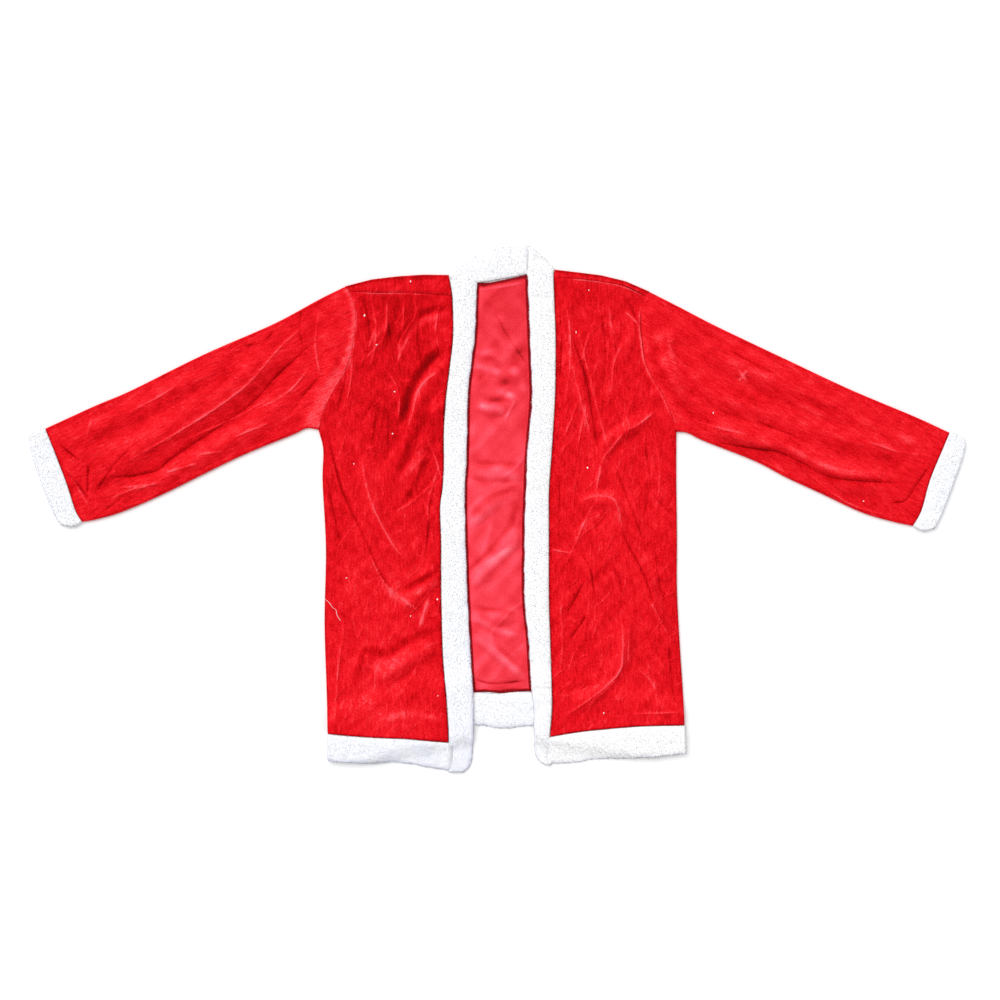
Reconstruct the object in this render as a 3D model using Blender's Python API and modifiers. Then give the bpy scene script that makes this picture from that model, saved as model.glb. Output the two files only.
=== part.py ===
"""Santa jacket laid flat and face up, with its neck towards +Y.

Every red panel is a thin wall of velour, and every open edge has a white plush band.
The back lies on the surface, and the fronts and their bands lie on the back. Lengths in
the tables are millimetres from the middle of the laid-out jacket. Right and left are
the wearer's, so the right side is towards -X.
"""
import math
from collections import namedtuple

import bmesh
import bpy
from mathutils import Vector

MM = 0.001

# Walls and clearances. A tube's ends run at a slant, so its gap is wider along the tube.
VELOUR = 1.5
PLUSH = 7.0
CUFF_WALL = 3.5
SEAM_GAP = 0.4
TUBE_GAP = 0.45
LAYER_GAP = 0.3
FOLD_RADIUS = 3.0
CUFF_RADIUS = 5.0

# Looseness of the front over the back, and how far in from an edge it is reached
LOOSE_LIFT = 1.2
SIDE_REACH = 14.0
ARMHOLE_LIFT = 1.5
ARMHOLE_REACH = 34.0

# Looseness of the sleeves, and how far in from their edges and ends it is reached
SLEEVE_LIFT = 0.8
SLEEVE_EDGE_REACH = 26.0
SLEEVE_END_REACH = 22.0

# Distance over which the folds of the back rise, from the bands, the neck and the hem
BACK_BAND_REACH = 11.0
BACK_NECK_REACH = 30.0
BACK_HEM_REACH = 14.0

# Where the upper layer steps down past the neck, climbs on the back's hem band above its
# seam, and steps down past its edge: near and far end of each slope
NECK_EDGE_HEIGHT = 358.0
NECK_SLOPE = (2.0, 16.0)
HEM_CLIMB = (12.0, 46.0)
HEM_SLOPE = (10.0, 34.0)

# Share of the armhole at which the shoulder seam meets it, and the mean height of the hem
SHOULDER_SHARE = 0.042
HEM_HEIGHT = -340.0

# How finely the panels are divided
ARMHOLE_STEPS = 10
SIDE_STEPS = 24
COLUMNS_PER_SHARE = 3
UNDER_MARKS = (0.02, 0.35, 0.8)
OPENING_COLUMNS = 9
OVER_MARKS = (0.25, 0.7, 0.93)
SLEEVE_STEPS = 24
NECK_STEPS = 9
BAND_END_STEP = 9.0

# Angles round the folded shoulder and round the edge of a flat tube, from top to bottom
SHOULDER_TURN = (90, 40, -5, -50)
EDGE_TURN = (90, 30, -30, -90)

# Cross-section of a band: share of its width from seam to edge, share of its thickness
BAND_PROFILE = (
    (0.04, 0.0), (0.5, 0.0), (0.96, 0.0), (1.0, 0.4), (0.93, 0.86),
    (0.72, 1.0), (0.28, 1.0), (0.07, 0.86), (0.0, 0.4),
)

# Rings of a cuff: share of its length from the seam, share of its full radius
CUFF_RINGS = ((0.0, 0.92), (0.3, 1.0), (0.75, 1.0), (1.0, 0.88))

# Colour and roughness of the two cloths
VELOUR_LOOK = ((0.62, 0.006, 0.012), 0.75)
PLUSH_LOOK = ((0.86, 0.86, 0.9), 0.95)

Shoulder = namedtuple("Shoulder", "share fold seam")
Band = namedtuple("Band", "height seam edge")
Fold = namedtuple("Fold", "rise width path")

# Shoulders, from armhole to neck: share of the way across, height of the folded top
# edge, and height of the seam in front where the back ends.
SHOULDER_RIGHT = (
    Shoulder(0.00, 333, 324),
    Shoulder(0.25, 343.5, 323),
    Shoulder(0.50, 348, 323),
    Shoulder(0.75, 350.5, 321.5),
    Shoulder(1.00, 350, 318),
)
SHOULDER_LEFT = (
    Shoulder(0.00, 325, 319),
    Shoulder(0.25, 341, 334),
    Shoulder(0.50, 349.5, 340),
    Shoulder(0.75, 354, 344),
    Shoulder(1.00, 358, 346),
)

# Front bands, from neck to hem: height, x of the seam on the panel, x of the open edge.
BAND_RIGHT = (
    Band(356, -74, -29),
    Band(338, -71.5, -29),
    Band(313, -68, -30),
    Band(260, -67, -32),
    Band(212, -72, -38),
    Band(163, -78, -43),
    Band(113, -81, -43.5),
    Band(64, -81, -45),
    Band(30, -83, -47),
    Band(1, -86.5, -47),
    Band(-49, -85, -46),
    Band(-110, -85, -44),
    Band(-170, -84, -41),
    Band(-227, -82, -38),
    Band(-292, -76, -34),
    Band(-350, -73, -35),
    Band(-378, -72, -39),
    Band(-394.5, -72, -49),
)
BAND_LEFT = (
    Band(394.5, 46, 44),
    Band(386, 58, 44),
    Band(373, 73, 44),
    Band(360, 85, 44),
    Band(346, 85, 44),
    Band(313, 86, 45),
    Band(260, 88, 47),
    Band(212, 88, 49),
    Band(163, 87, 50),
    Band(113, 84, 46),
    Band(82, 82, 43),
    Band(25, 78, 41),
    Band(-32, 78, 39),
    Band(-136, 78, 39),
    Band(-197, 80, 45),
    Band(-265, 82, 49),
    Band(-302, 82, 53),
    Band(-341, 79, 53.5),
    Band(-368, 79, 55),
    Band(-383.5, 79, 69),
)

# Armholes from shoulder tip to underarm, and sides from underarm to hem seam
ARMHOLE_RIGHT = (
    (-228, 333), (-220, 320), (-212, 291), (-215, 258), (-220, 229),
    (-230, 205), (-247, 181), (-262, 143), (-268, 118),
)
ARMHOLE_LEFT = (
    (228, 325), (218, 311), (214, 293), (215, 269), (219, 238),
    (224, 212), (234, 193), (247, 173), (262, 138), (268, 115),
)
SIDE_RIGHT = (
    (-268, 118), (-261, 88), (-262, 40), (-257, -60), (-259, -170), (-256, -270), (-254, -337),
)
SIDE_LEFT = ((268, 115), (268, 40), (269, -40), (269, -120), (273, -200), (278, -275), (280, -324))

# Hem seams and lower edges, from one side to the other
HEM_SEAM_RIGHT = ((-254, -337), (-193, -342), (-142, -344), (-107, -347), (-73, -350))
HEM_EDGE_RIGHT = ((-254, -379), (-193, -383), (-150, -382), (-100, -390), (-73, -394.5))
HEM_SEAM_LEFT = ((79, -341), (121, -334), (167, -329), (221, -325), (280, -324))
HEM_EDGE_LEFT = ((79, -383.5), (106, -383), (150, -377), (221, -374), (282, -368))
HEM_SEAM_BACK = (
    (-254, -338), (-221, -321), (-146, -297), (-86, -282), (-35, -275), (-2, -277),
    (39, -274), (94, -280), (169, -294), (244, -314), (280, -325),
)
HEM_EDGE_BACK = (
    (-254, -378), (-215, -366), (-146, -346), (-86, -334), (-34, -326), (8, -331),
    (52, -327), (94, -333), (169, -345), (240, -359), (281, -368),
)

# Neck band from the right front band to the left one: outer arc and inner seam
NECK_OUTER = (
    (-70, 338.6), (-69, 348), (-48, 370), (-30, 380.5), (-2, 390), (26, 394.5), (43.5, 394),
)
NECK_INNER = ((-29.5, 338.6), (-22, 339.5), (-11, 341.3), (16, 346), (43.5, 351.2))

# Back's neck seam, under the neck band and on under the two front bands
NECK_SEAM = (
    (-73, 338.2), *[(x, y - SEAM_GAP) for x, y in NECK_INNER], (85, NECK_EDGE_HEIGHT - 1),
)

# Sleeve edges from armhole to cuff seam, cuff seams and cuff edges from top to underarm
SLEEVE_TOP_RIGHT = (
    (-228, 333), (-268, 313), (-335, 277), (-442, 230), (-549, 177), (-603, 154), (-677, 120),
)
SLEEVE_UNDER_RIGHT = (
    (-268, 118), (-286, 120), (-308, 110), (-388, 77), (-496, 24), (-560, -4), (-600, -16),
    (-622, -20),
)
SLEEVE_TOP_LEFT = (
    (228, 325), (269, 304), (329, 273), (434, 223), (530, 178), (625, 138), (677, 114),
)
SLEEVE_UNDER_LEFT = (
    (268, 115), (285, 113), (310, 101), (386, 71), (434, 46), (482, 24), (544, -5),
    (590, -19), (622, -26),
)
CUFF_SEAM_RIGHT = ((-677, 120), (-666, 93), (-645, 38), (-632, -2), (-622, -20))
CUFF_SEAM_LEFT = ((677, 114), (670, 97), (648, 44), (635, -2), (622, -26))
CUFF_TOP_RIGHT = ((-677, 120), (-688, 117), (-697, 113), (-703.5, 106))
CUFF_TOP_LEFT = ((677, 114), (688, 111), (697, 107), (703.5, 100))
CUFF_UNDER_RIGHT = ((-622, -20), (-630, -25), (-641, -27), (-657, -24))
CUFF_UNDER_LEFT = ((622, -26), (630, -31), (641, -33.5), (656, -30))
CUFF_EDGE_RIGHT = ((-703.5, 106), (-698, 78), (-688, 48), (-677, 18), (-667, -6), (-657, -24))
CUFF_EDGE_LEFT = ((703.5, 100), (698, 76), (689, 50), (678, 20), (667, -8), (656, -30))

# Largest folds: rise above the cloth round them (a trough is negative), half width, path
FOLDS_FRONT_RIGHT = (
    Fold(5.0, 24, ((-76, 220), (-113, 184), (-133, 133), (-145, 82), (-169, 31))),
    Fold(4.0, 18, ((-80, 168), (-102, 122), (-120, 82))),
    Fold(3.5, 16, ((-240, 104), (-236, 66), (-222, 20), (-195, -44), (-170, -99), (-124, -146))),
    Fold(3.0, 15, ((-205, 84), (-194, 28), (-177, -14), (-150, -62), (-124, -88))),
    Fold(5.0, 20, ((-92, -88), (-118, -126), (-146, -150))),
    Fold(5.0, 22, ((-90, -204), (-126, -222), (-160, -244), (-190, -250))),
    Fold(3.0, 18, ((-176, -206), (-206, -236), (-224, -280))),
)
FOLDS_FRONT_LEFT = (
    Fold(3.0, 14, ((104, 272), (118, 212), (130, 152), (146, 92))),
    Fold(4.0, 16, ((236, 150), (214, 130), (191, 116), (166, 98), (155, 68), (146, 28))),
    Fold(5.0, 17, ((120, 6), (148, 12), (174, 6), (190, -46), (216, -98), (252, -180))),
    Fold(3.0, 14, ((178, 64), (198, 12), (220, -44))),
    Fold(3.0, 15, ((118, -70), (138, -92), (142, -134))),
    Fold(5.0, 18, ((106, -304), (150, -270), (180, -240), (190, -205), (190, -160))),
    Fold(3.0, 14, ((222, 290), (202, 262), (186, 214))),
)
FOLDS_SLEEVE_RIGHT = (
    Fold(8.0, 30, ((-580, 62), (-540, 90), (-469, 134), (-415, 167), (-373, 202), (-325, 250))),
    Fold(-2.5, 18, (
        (-594, 24), (-536, 50), (-496, 68), (-442, 102), (-388, 135), (-340, 184), (-290, 240))),
    Fold(4.0, 24, ((-560, 20), (-490, 46), (-420, 88), (-350, 132), (-300, 190))),
    Fold(3.0, 20, ((-640, 104), (-560, 140), (-480, 180), (-400, 216))),
    Fold(3.0, 16, ((-262, 270), (-246, 220), (-262, 170))),
)
FOLDS_SLEEVE_LEFT = (
    Fold(7.0, 28, ((300, 130), (360, 106), (420, 92), (470, 66), (530, 44), (590, 36))),
    Fold(-2.5, 16, ((320, 96), (392, 86), (440, 72), (492, 46), (540, 38), (600, 34))),
    Fold(5.0, 26, ((320, 238), (380, 206), (440, 176), (520, 148))),
    Fold(4.0, 24, ((290, 196), (350, 160), (420, 140), (500, 108), (600, 84))),
    Fold(4.0, 20, ((262, 270), (252, 226), (276, 170))),
)
FOLDS_BACK = (
    Fold(3.0, 15, ((-26, 236), (-8, 222), (4, 208), (16, 200), (36, 196))),
    Fold(3.0, 14, ((-34, 196), (-18, 178), (-2, 168), (12, 176))),
    Fold(3.0, 14, ((-30, 158), (-8, 148), (14, 156), (26, 170))),
    Fold(2.5, 14, ((-2, 290), (16, 262), (34, 232))),
    Fold(3.0, 15, ((-46, 60), (-10, 54), (38, 52))),
    Fold(3.5, 17, ((-46, -22), (-20, 4), (8, 24), (34, 34))),
    Fold(3.5, 17, ((-40, -116), (-8, -82), (18, -52), (36, -36))),
    Fold(3.0, 15, ((-36, -160), (-6, -166), (28, -160))),
    Fold(3.5, 16, ((-30, -186), (0, -214), (34, -252))),
)


def smooth(start, end, value):
    """Ease from 0 at start to 1 at end."""
    share = min(max((value - start) / (end - start), 0.0), 1.0)
    return share * share * (3.0 - 2.0 * share)


def fine_curve(points, per_span=8):
    """Close points along a smooth curve through the given points."""
    through = [Vector(p) for p in points]
    padded = [2 * through[0] - through[1], *through, 2 * through[-1] - through[-2]]
    fine = []
    for a, b, c, d in zip(padded, padded[1:], padded[2:], padded[3:]):
        for step in range(per_span):
            t = step / per_span
            linear = (c - a) * t
            square = (2 * a - 5 * b + 4 * c - d) * t * t
            cube = (3 * b - a - 3 * c + d) * t ** 3
            fine.append((2 * b + linear + square + cube) / 2)
    fine.append(through[-1])
    return fine


def stations(points, shares):
    """Points at the given shares of the length of the smooth curve through points."""
    fine = fine_curve(points)
    reached = [0.0]
    for a, b in zip(fine, fine[1:]):
        reached.append(reached[-1] + (b - a).length)
    found = []
    for share in shares:
        goal = share * reached[-1]
        spot = 0
        while spot < len(fine) - 2 and reached[spot + 1] < goal:
            spot += 1
        part = (goal - reached[spot]) / (reached[spot + 1] - reached[spot])
        found.append(fine[spot].lerp(fine[spot + 1], part))
    return found


def even(count):
    """Shares from 0 to 1 in count equal steps."""
    return [step / count for step in range(count + 1)]


def read_off(fine, value, given, wanted):
    """Coordinate wanted of a fine curve where its coordinate given has the value."""
    for a, b in zip(fine, fine[1:]):
        low, high = sorted((a[given], b[given]))
        if low <= value <= high and high > low:
            return a[wanted] + (b[wanted] - a[wanted]) * (value - a[given]) / (b[given] - a[given])
    ends = min(fine[0], fine[-1], key=lambda p: abs(p[given] - value))
    return ends[wanted]


def x_of_height(table, column):
    """Function that gives the x of one column of a band table at any height."""
    fine = fine_curve([(getattr(row, column), row.height) for row in table])
    return lambda height: read_off(fine, height, 1, 0)


def height_of_x(points):
    """Function that gives the height of a seam that runs across the jacket at any x."""
    fine = fine_curve(points)
    return lambda x: read_off(fine, x, 0, 1)


def distance_and_share(point, path):
    """Distance from a point to a path, and how far along the path the nearest point is."""
    lengths = [(b - a).length for a, b in zip(path, path[1:])]
    nearest = (1e9, 0.0)
    before = 0.0
    for a, b, length in zip(path, path[1:], lengths):
        part = min(max((point - a).dot(b - a) / length ** 2, 0.0), 1.0)
        away = (point - a.lerp(b, part)).length
        if away < nearest[0]:
            nearest = (away, (before + part * length) / sum(lengths))
        before += length
    return nearest


def fold_field(folds):
    """Function that gives the height of all folds of a panel at a point."""
    lines = [(fold, fine_curve(fold.path, per_span=4)) for fold in folds]

    def rise(point):
        total = 0.0
        for fold, line in lines:
            away, share = distance_and_share(point, line)
            if away < fold.width:
                crown = (1.0 - (away / fold.width) ** 2) ** 2
                fade = smooth(-0.05, 0.2, share) * smooth(1.05, 0.8, share)
                total += fold.rise * crown * fade
        return total

    return rise


seam_right = x_of_height(BAND_RIGHT, "seam")
edge_right = x_of_height(BAND_RIGHT, "edge")
seam_left = x_of_height(BAND_LEFT, "seam")
edge_left = x_of_height(BAND_LEFT, "edge")
back_hem_seam = height_of_x(HEM_SEAM_BACK)
back_hem_edge = height_of_x(HEM_EDGE_BACK)
neck_seam = height_of_x(NECK_SEAM)


def resting_height(point):
    """Height on which the upper layer lies: the back, then its hem band, then the floor."""
    seam = back_hem_seam(point.x)
    edge = back_hem_edge(point.x)
    if point.y > (seam + edge) / 2:
        above_seam = point.y - seam
        past_neck = point.y - NECK_EDGE_HEIGHT
        on_band = 1.0 - smooth(*HEM_CLIMB, above_seam)
        on_back = 1.0 - smooth(*NECK_SLOPE, past_neck)
        return (VELOUR + LAYER_GAP) * on_back + (PLUSH - VELOUR) * on_band
    return (PLUSH + LAYER_GAP) * (1.0 - smooth(*HEM_SLOPE, edge - point.y))


def on_floor(point):
    """Height under a band that lies on the surface itself."""
    return 0.0


def armhole_stations(points):
    """Points down an armhole. The second one is where the shoulder seam meets it."""
    rest = [SHOULDER_SHARE + (1 - SHOULDER_SHARE) * s for s in even(ARMHOLE_STEPS)]
    return stations(points, [0.0, *rest])


def outer_line(armhole, side):
    """Points down the armhole and then down the side to the hem."""
    return armhole_stations(armhole) + stations(side, even(SIDE_STEPS))[1:]


def table_height(shares, heights, share):
    """Height at a share of the way across, straight between the rows of a table."""
    for left, right, low, high in zip(shares, shares[1:], heights, heights[1:]):
        if share <= right:
            return low + (high - low) * (share - left) / (right - left)
    return heights[-1]


def share_down(outer, point):
    """Share of the way down an outer line at which one of its points lies."""
    return (point.y - outer[0].y) / (outer[-1].y - outer[0].y)


def half_plan(outer, top_heights, shoulder, seam_x, hem_height, shares):
    """Rows of plan points from an outer line to a band seam, one for each outer point."""
    table_shares = [row.share for row in shoulder]
    rows = []
    for start in outer:
        down = share_down(outer, start)
        row = []
        for share in shares:
            top = table_height(table_shares, top_heights, share)
            hem_x = outer[-1].x + (seam_x(HEM_HEIGHT) - outer[-1].x) * share
            hem = outer[-1].y if share == 0 else hem_height(hem_x)
            height = top + (hem - top) * down
            row.append(Vector((start.x + (seam_x(height) - start.x) * share, height)))
        rows.append(row)
    return rows


def sheet_mesh(name, rows, closed=False):
    """Mesh of quads between rows of points in millimetres. None leaves a place empty."""
    mesh = bpy.data.meshes.new(name)
    bm = bmesh.new()
    grid = [[bm.verts.new(p * MM) if p is not None else None for p in row] for row in rows]
    for upper, lower in zip(grid, grid[1:]):
        count = len(upper) if closed else len(upper) - 1
        for j in range(count):
            k = (j + 1) % len(upper)
            corners = (upper[j], upper[k], lower[k], lower[j])
            if None not in corners:
                bm.faces.new(corners)
    bm.to_mesh(mesh)
    bm.free()
    return mesh


def material(name, colour, roughness):
    """Principled material with a plain colour."""
    finish = bpy.data.materials.new(name)
    finish.use_nodes = True
    shader = finish.node_tree.nodes["Principled BSDF"]
    shader.inputs["Base Color"].default_value = (*colour, 1.0)
    shader.inputs["Roughness"].default_value = roughness
    shader.inputs["Metallic"].default_value = 0.0
    return finish


def add_object(mesh, look):
    """Object of the jacket, shaded smooth, with its own material."""
    mesh.materials.append(material(mesh.name + "_cloth", *look))
    mesh.shade_smooth()
    piece = bpy.data.objects.new(mesh.name, mesh)
    jacket.objects.link(piece)
    return piece


def thicken(piece, thickness):
    """Give an open surface a wall on its inner side."""
    wall = piece.modifiers.new("Wall", "SOLIDIFY")
    wall.thickness = thickness * MM
    wall.offset = -1.0


def velour_panel(name, rows, closed=False):
    """Panel of red velour whose outer side is given."""
    thicken(add_object(sheet_mesh(name, rows, closed), VELOUR_LOOK), VELOUR)


def plush_band(name, seam_line, edge_line, under):
    """Padded strip between two lines of plan points, flat below and rounded above."""
    mesh = bpy.data.meshes.new(name)
    bm = bmesh.new()
    rings = []
    for seam, edge in zip(seam_line, edge_line):
        ring = []
        for share, height in BAND_PROFILE:
            spot = seam.lerp(edge, share)
            z = under(spot) + height * PLUSH
            ring.append(bm.verts.new(Vector((spot.x, spot.y, z)) * MM))
        rings.append(ring)
    for ring, following in zip(rings, rings[1:]):
        for j in range(len(ring)):
            k = (j + 1) % len(ring)
            bm.faces.new((ring[j], ring[k], following[k], following[j]))
    bm.faces.new(rings[0])
    bm.faces.new(rings[-1])
    bmesh.ops.recalc_face_normals(bm, faces=bm.faces)
    bmesh.ops.triangulate(bm, faces=[f for f in bm.faces if len(f.verts) > 4])
    bm.to_mesh(mesh)
    bm.free()
    add_object(mesh, PLUSH_LOOK)


def front_panel(name, shoulder, outer, seam_x, hem, folds, side):
    """Front panel from the shoulder seam to the hem band, lying on the back."""
    steps = (len(shoulder) - 1) * COLUMNS_PER_SHARE
    heights = [outer[1].y] + [row.seam for row in shoulder[1:]]
    plan = half_plan(outer[1:], heights, shoulder, seam_x, height_of_x(hem), even(steps))
    rise = fold_field(folds)
    armhole = outer[1:ARMHOLE_STEPS + 2]
    side_seam = outer[ARMHOLE_STEPS + 1:]
    rows = []
    for row in plan:
        made = []
        for point in row:
            to_armhole = distance_and_share(point, armhole)[0]
            to_shoulder = distance_and_share(point, plan[0])[0]
            to_side = distance_and_share(point, side_seam)[0]
            near_top = 1.0 - smooth(0, ARMHOLE_REACH, min(to_armhole, to_shoulder))
            off_side = smooth(0, SIDE_REACH, to_side)
            lift = (LOOSE_LIFT + rise(point)) * off_side + ARMHOLE_LIFT * near_top
            z = resting_height(point) + VELOUR + max(lift, 0.0)
            made.append(Vector((point.x, point.y, z)))
        rows.append(made[::side])
    velour_panel(name, rows)
    return plan


def back_half(shoulder, outer, seam_x):
    """Rows of one half of the back: the part turned over the shoulder, its fold, the rest."""
    along = (outer[0] - outer[1]).normalized()
    shares = [row.share for row in shoulder]
    outward = [along] + [Vector((0.0, 1.0))] * (len(shares) - 1)
    inset = [outer[0] - along * FOLD_RADIUS, *outer[1:]]
    heights = [inset[0].y] + [row.fold - FOLD_RADIUS for row in shoulder[1:]]
    plan = half_plan(inset, heights, shoulder, seam_x, back_hem_seam, shares)
    seam_heights = [outer[1].y] + [row.seam for row in shoulder[1:]]
    turned = []
    for centre, outwards, height in zip(plan[0], outward, seam_heights):
        if outwards is along:
            seam = outer[1] + along * SEAM_GAP
        else:
            seam = Vector((seam_x(height) + (centre.x - seam_x(centre.y)), height + SEAM_GAP))
        column = [(seam, 2 * FOLD_RADIUS), (seam.lerp(centre, 0.5), 2 * FOLD_RADIUS)]
        for angle in SHOULDER_TURN:
            turn = math.radians(angle)
            reach = centre + outwards * FOLD_RADIUS * math.cos(turn)
            column.append((reach, FOLD_RADIUS + FOLD_RADIUS * math.sin(turn)))
        turned.append([Vector((spot.x, spot.y, z)) for spot, z in column])
    return [list(row) for row in zip(*turned)], plan


def back_panel():
    """Back panel: flat where the fronts lie on it, folded where it shows between them."""
    turned_right, plan_right = back_half(SHOULDER_RIGHT, outer_right, seam_right)
    turned_left, plan_left = back_half(SHOULDER_LEFT, outer_left, seam_left)
    rise = fold_field(FOLDS_BACK)
    marks = [(seam_right, edge_right, share) for share in UNDER_MARKS]
    marks += [(edge_right, edge_left, share) for share in even(OPENING_COLUMNS)]
    marks += [(edge_left, seam_left, share) for share in OVER_MARKS]
    rows = []
    for right, left in zip(turned_right, turned_left):
        rows.append(right + [None] * len(marks) + left[::-1])
    for right, left, right_outer, left_outer in zip(plan_right, plan_left, outer_right, outer_left):
        down_right = share_down(outer_right, right_outer)
        down_left = share_down(outer_left, left_outer)
        down = (down_right + down_left) / 2
        middle = []
        for start, end, share in marks:
            x = start(0) + (end(0) - start(0)) * share
            height = neck_seam(x) + (back_hem_seam(x) - neck_seam(x)) * down
            x = start(height) + (end(height) - start(height)) * share
            in_view = smooth(0, BACK_BAND_REACH, min(x - edge_right(height), edge_left(height) - x))
            in_view *= smooth(0, BACK_NECK_REACH, neck_seam(x) - height)
            in_view *= smooth(0, BACK_HEM_REACH, height - back_hem_seam(x))
            z = max(rise(Vector((x, height))), 0.0) * in_view
            middle.append(Vector((x, height, z)))
        flat_right = [Vector((p.x, p.y, 0.0)) for p in right]
        flat_left = [Vector((p.x, p.y, 0.0)) for p in left]
        rows.append(flat_right + middle + flat_left[::-1])
    velour_panel("back", rows)
    return [p.to_2d() for p in rows[-1]]


def coons_plan(start, end, top, under):
    """Plan points between two lines across a tube and its two long edges."""
    rows = []
    for i, (upper, lower) in enumerate(zip(top, under)):
        along = i / (len(top) - 1)
        row = []
        for j, (first, last) in enumerate(zip(start, end)):
            across = share_reached(start, j)
            blend = first * (1 - along) + last * along
            blend += upper * (1 - across) + lower * across
            blend -= start[0] * (1 - along) * (1 - across) + start[-1] * (1 - along) * across
            blend -= end[0] * along * (1 - across) + end[-1] * along * across
            row.append(blend)
        rows.append(row)
    return rows


def share_reached(line, index):
    """Share of a line's length reached at one of its points."""
    lengths = [(b - a).length for a, b in zip(line, line[1:])]
    return sum(lengths[:index]) / sum(lengths)


def tube_rows(plan, lift, radii, side):
    """Loops round a flat tube: over the top, round one edge, below, round the other."""
    loops = []
    for row, radius in zip(plan, radii):
        inward = (row[1] - row[0]).normalized()
        outward = (row[-1] - row[-2]).normalized()
        first = row[0] + inward * radius
        last = row[-1] - outward * radius
        loop = [Vector((p.x, p.y, 2 * radius + lift(p))) for p in row[1:-1]]
        for angle in EDGE_TURN:
            turn = math.radians(angle)
            spot = last + outward * radius * math.cos(turn)
            loop.append(Vector((spot.x, spot.y, radius + radius * math.sin(turn))))
        loop += [Vector((p.x, p.y, 0.0)) for p in row[-2:0:-1]]
        for angle in EDGE_TURN[::-1]:
            turn = math.radians(angle)
            spot = first - inward * radius * math.cos(turn)
            loop.append(Vector((spot.x, spot.y, radius + radius * math.sin(turn))))
        loops.append(loop[::side])
    return loops


def sleeve(name, armhole, top, under, cuff_seam, folds, side):
    """Sleeve laid flat: a tube of velour from the armhole to the cuff seam."""
    gap = Vector((side * TUBE_GAP, 0.0))
    start = [p + gap for p in armhole_stations(armhole)]
    shares = [share_reached(start, j) for j in range(len(start))]
    end = stations(cuff_seam, shares)
    top_line = stations([start[0], *top[1:]], even(SLEEVE_STEPS))
    under_line = stations([start[-1], *under[1:]], even(SLEEVE_STEPS))
    plan = coons_plan(start, end, top_line, under_line)
    rise = fold_field(folds)
    edges = (top_line, under_line)
    ends = (start, end)

    def lift(point):
        to_edge = min(distance_and_share(point, line)[0] for line in edges)
        to_end = min(distance_and_share(point, line)[0] for line in ends)
        inside = smooth(0, SLEEVE_EDGE_REACH, to_edge) * smooth(0, SLEEVE_END_REACH, to_end)
        lowest = LAYER_GAP + 2 * VELOUR - 2 * FOLD_RADIUS
        return max((SLEEVE_LIFT + rise(point)) * inside, lowest)

    loops = tube_rows(plan, lift, [FOLD_RADIUS] * len(plan), side)
    velour_panel(name, loops, closed=True)
    return end


def cuff(name, seam_line, top, under, edge, side):
    """Plush cuff laid flat: a padded tube past the end of the sleeve."""
    across = [share_reached(seam_line, j) for j in range(len(seam_line))]
    start = [p + Vector((side * TUBE_GAP, 0.0)) for p in seam_line]
    shares = [share for share, radius in CUFF_RINGS]
    radii = [CUFF_RADIUS * radius for share, radius in CUFF_RINGS]
    top_line = stations([start[0], *top[1:]], shares)
    under_line = stations([start[-1], *under[1:]], shares)
    plan = coons_plan(start, stations(edge, across), top_line, under_line)
    loops = tube_rows(plan, on_floor, radii, side)
    thicken(add_object(sheet_mesh(name, loops, closed=True), PLUSH_LOOK), CUFF_WALL)


def front_band(name, plan, ends, seam_x, edge_x, side):
    """Plush band down a front edge, from the neck to the hem."""
    top, bottom = ends
    first, last = plan[0][-1].y, plan[-1][-1].y
    above = even(math.ceil((top - first) / BAND_END_STEP))[:-1]
    below = even(math.ceil((last - bottom) / BAND_END_STEP))[1:]
    heights = [top + (first - top) * share for share in above]
    heights += [row[-1].y for row in plan]
    heights += [last + (bottom - last) * share for share in below]
    seam_line = [Vector((seam_x(h) - side * SEAM_GAP, h)) for h in heights]
    edge_line = [Vector((edge_x(h), h)) for h in heights]
    plush_band(name, seam_line, edge_line, resting_height)


def hem_band(name, panel_end, edge_points, under, end_gap):
    """Plush band along the lower end of a panel."""
    shares = [share_reached(panel_end, j) for j in range(len(panel_end))]
    seam_line = [p - Vector((0.0, SEAM_GAP)) for p in panel_end]
    edge_line = stations(edge_points, shares)
    seam_line[-1].x += end_gap
    edge_line[-1].x += end_gap
    plush_band(name, seam_line, edge_line, under)


for old in list(bpy.data.objects):
    bpy.data.objects.remove(old, do_unlink=True)
jacket = bpy.data.collections.new("santa_jacket")
bpy.context.scene.collection.children.link(jacket)

outer_right = outer_line(ARMHOLE_RIGHT, SIDE_RIGHT)
outer_left = outer_line(ARMHOLE_LEFT, SIDE_LEFT)
back_end = back_panel()
plan_right = front_panel(
    "front_right", SHOULDER_RIGHT, outer_right, seam_right, HEM_SEAM_RIGHT, FOLDS_FRONT_RIGHT, -1)
plan_left = front_panel(
    "front_left", SHOULDER_LEFT, outer_left, seam_left, HEM_SEAM_LEFT, FOLDS_FRONT_LEFT, 1)

wrist_right = sleeve(
    "sleeve_right", ARMHOLE_RIGHT, SLEEVE_TOP_RIGHT, SLEEVE_UNDER_RIGHT,
    CUFF_SEAM_RIGHT, FOLDS_SLEEVE_RIGHT, -1)
wrist_left = sleeve(
    "sleeve_left", ARMHOLE_LEFT, SLEEVE_TOP_LEFT, SLEEVE_UNDER_LEFT,
    CUFF_SEAM_LEFT, FOLDS_SLEEVE_LEFT, 1)
cuff("cuff_right", wrist_right, CUFF_TOP_RIGHT, CUFF_UNDER_RIGHT, CUFF_EDGE_RIGHT, -1)
cuff("cuff_left", wrist_left, CUFF_TOP_LEFT, CUFF_UNDER_LEFT, CUFF_EDGE_LEFT, 1)

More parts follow.
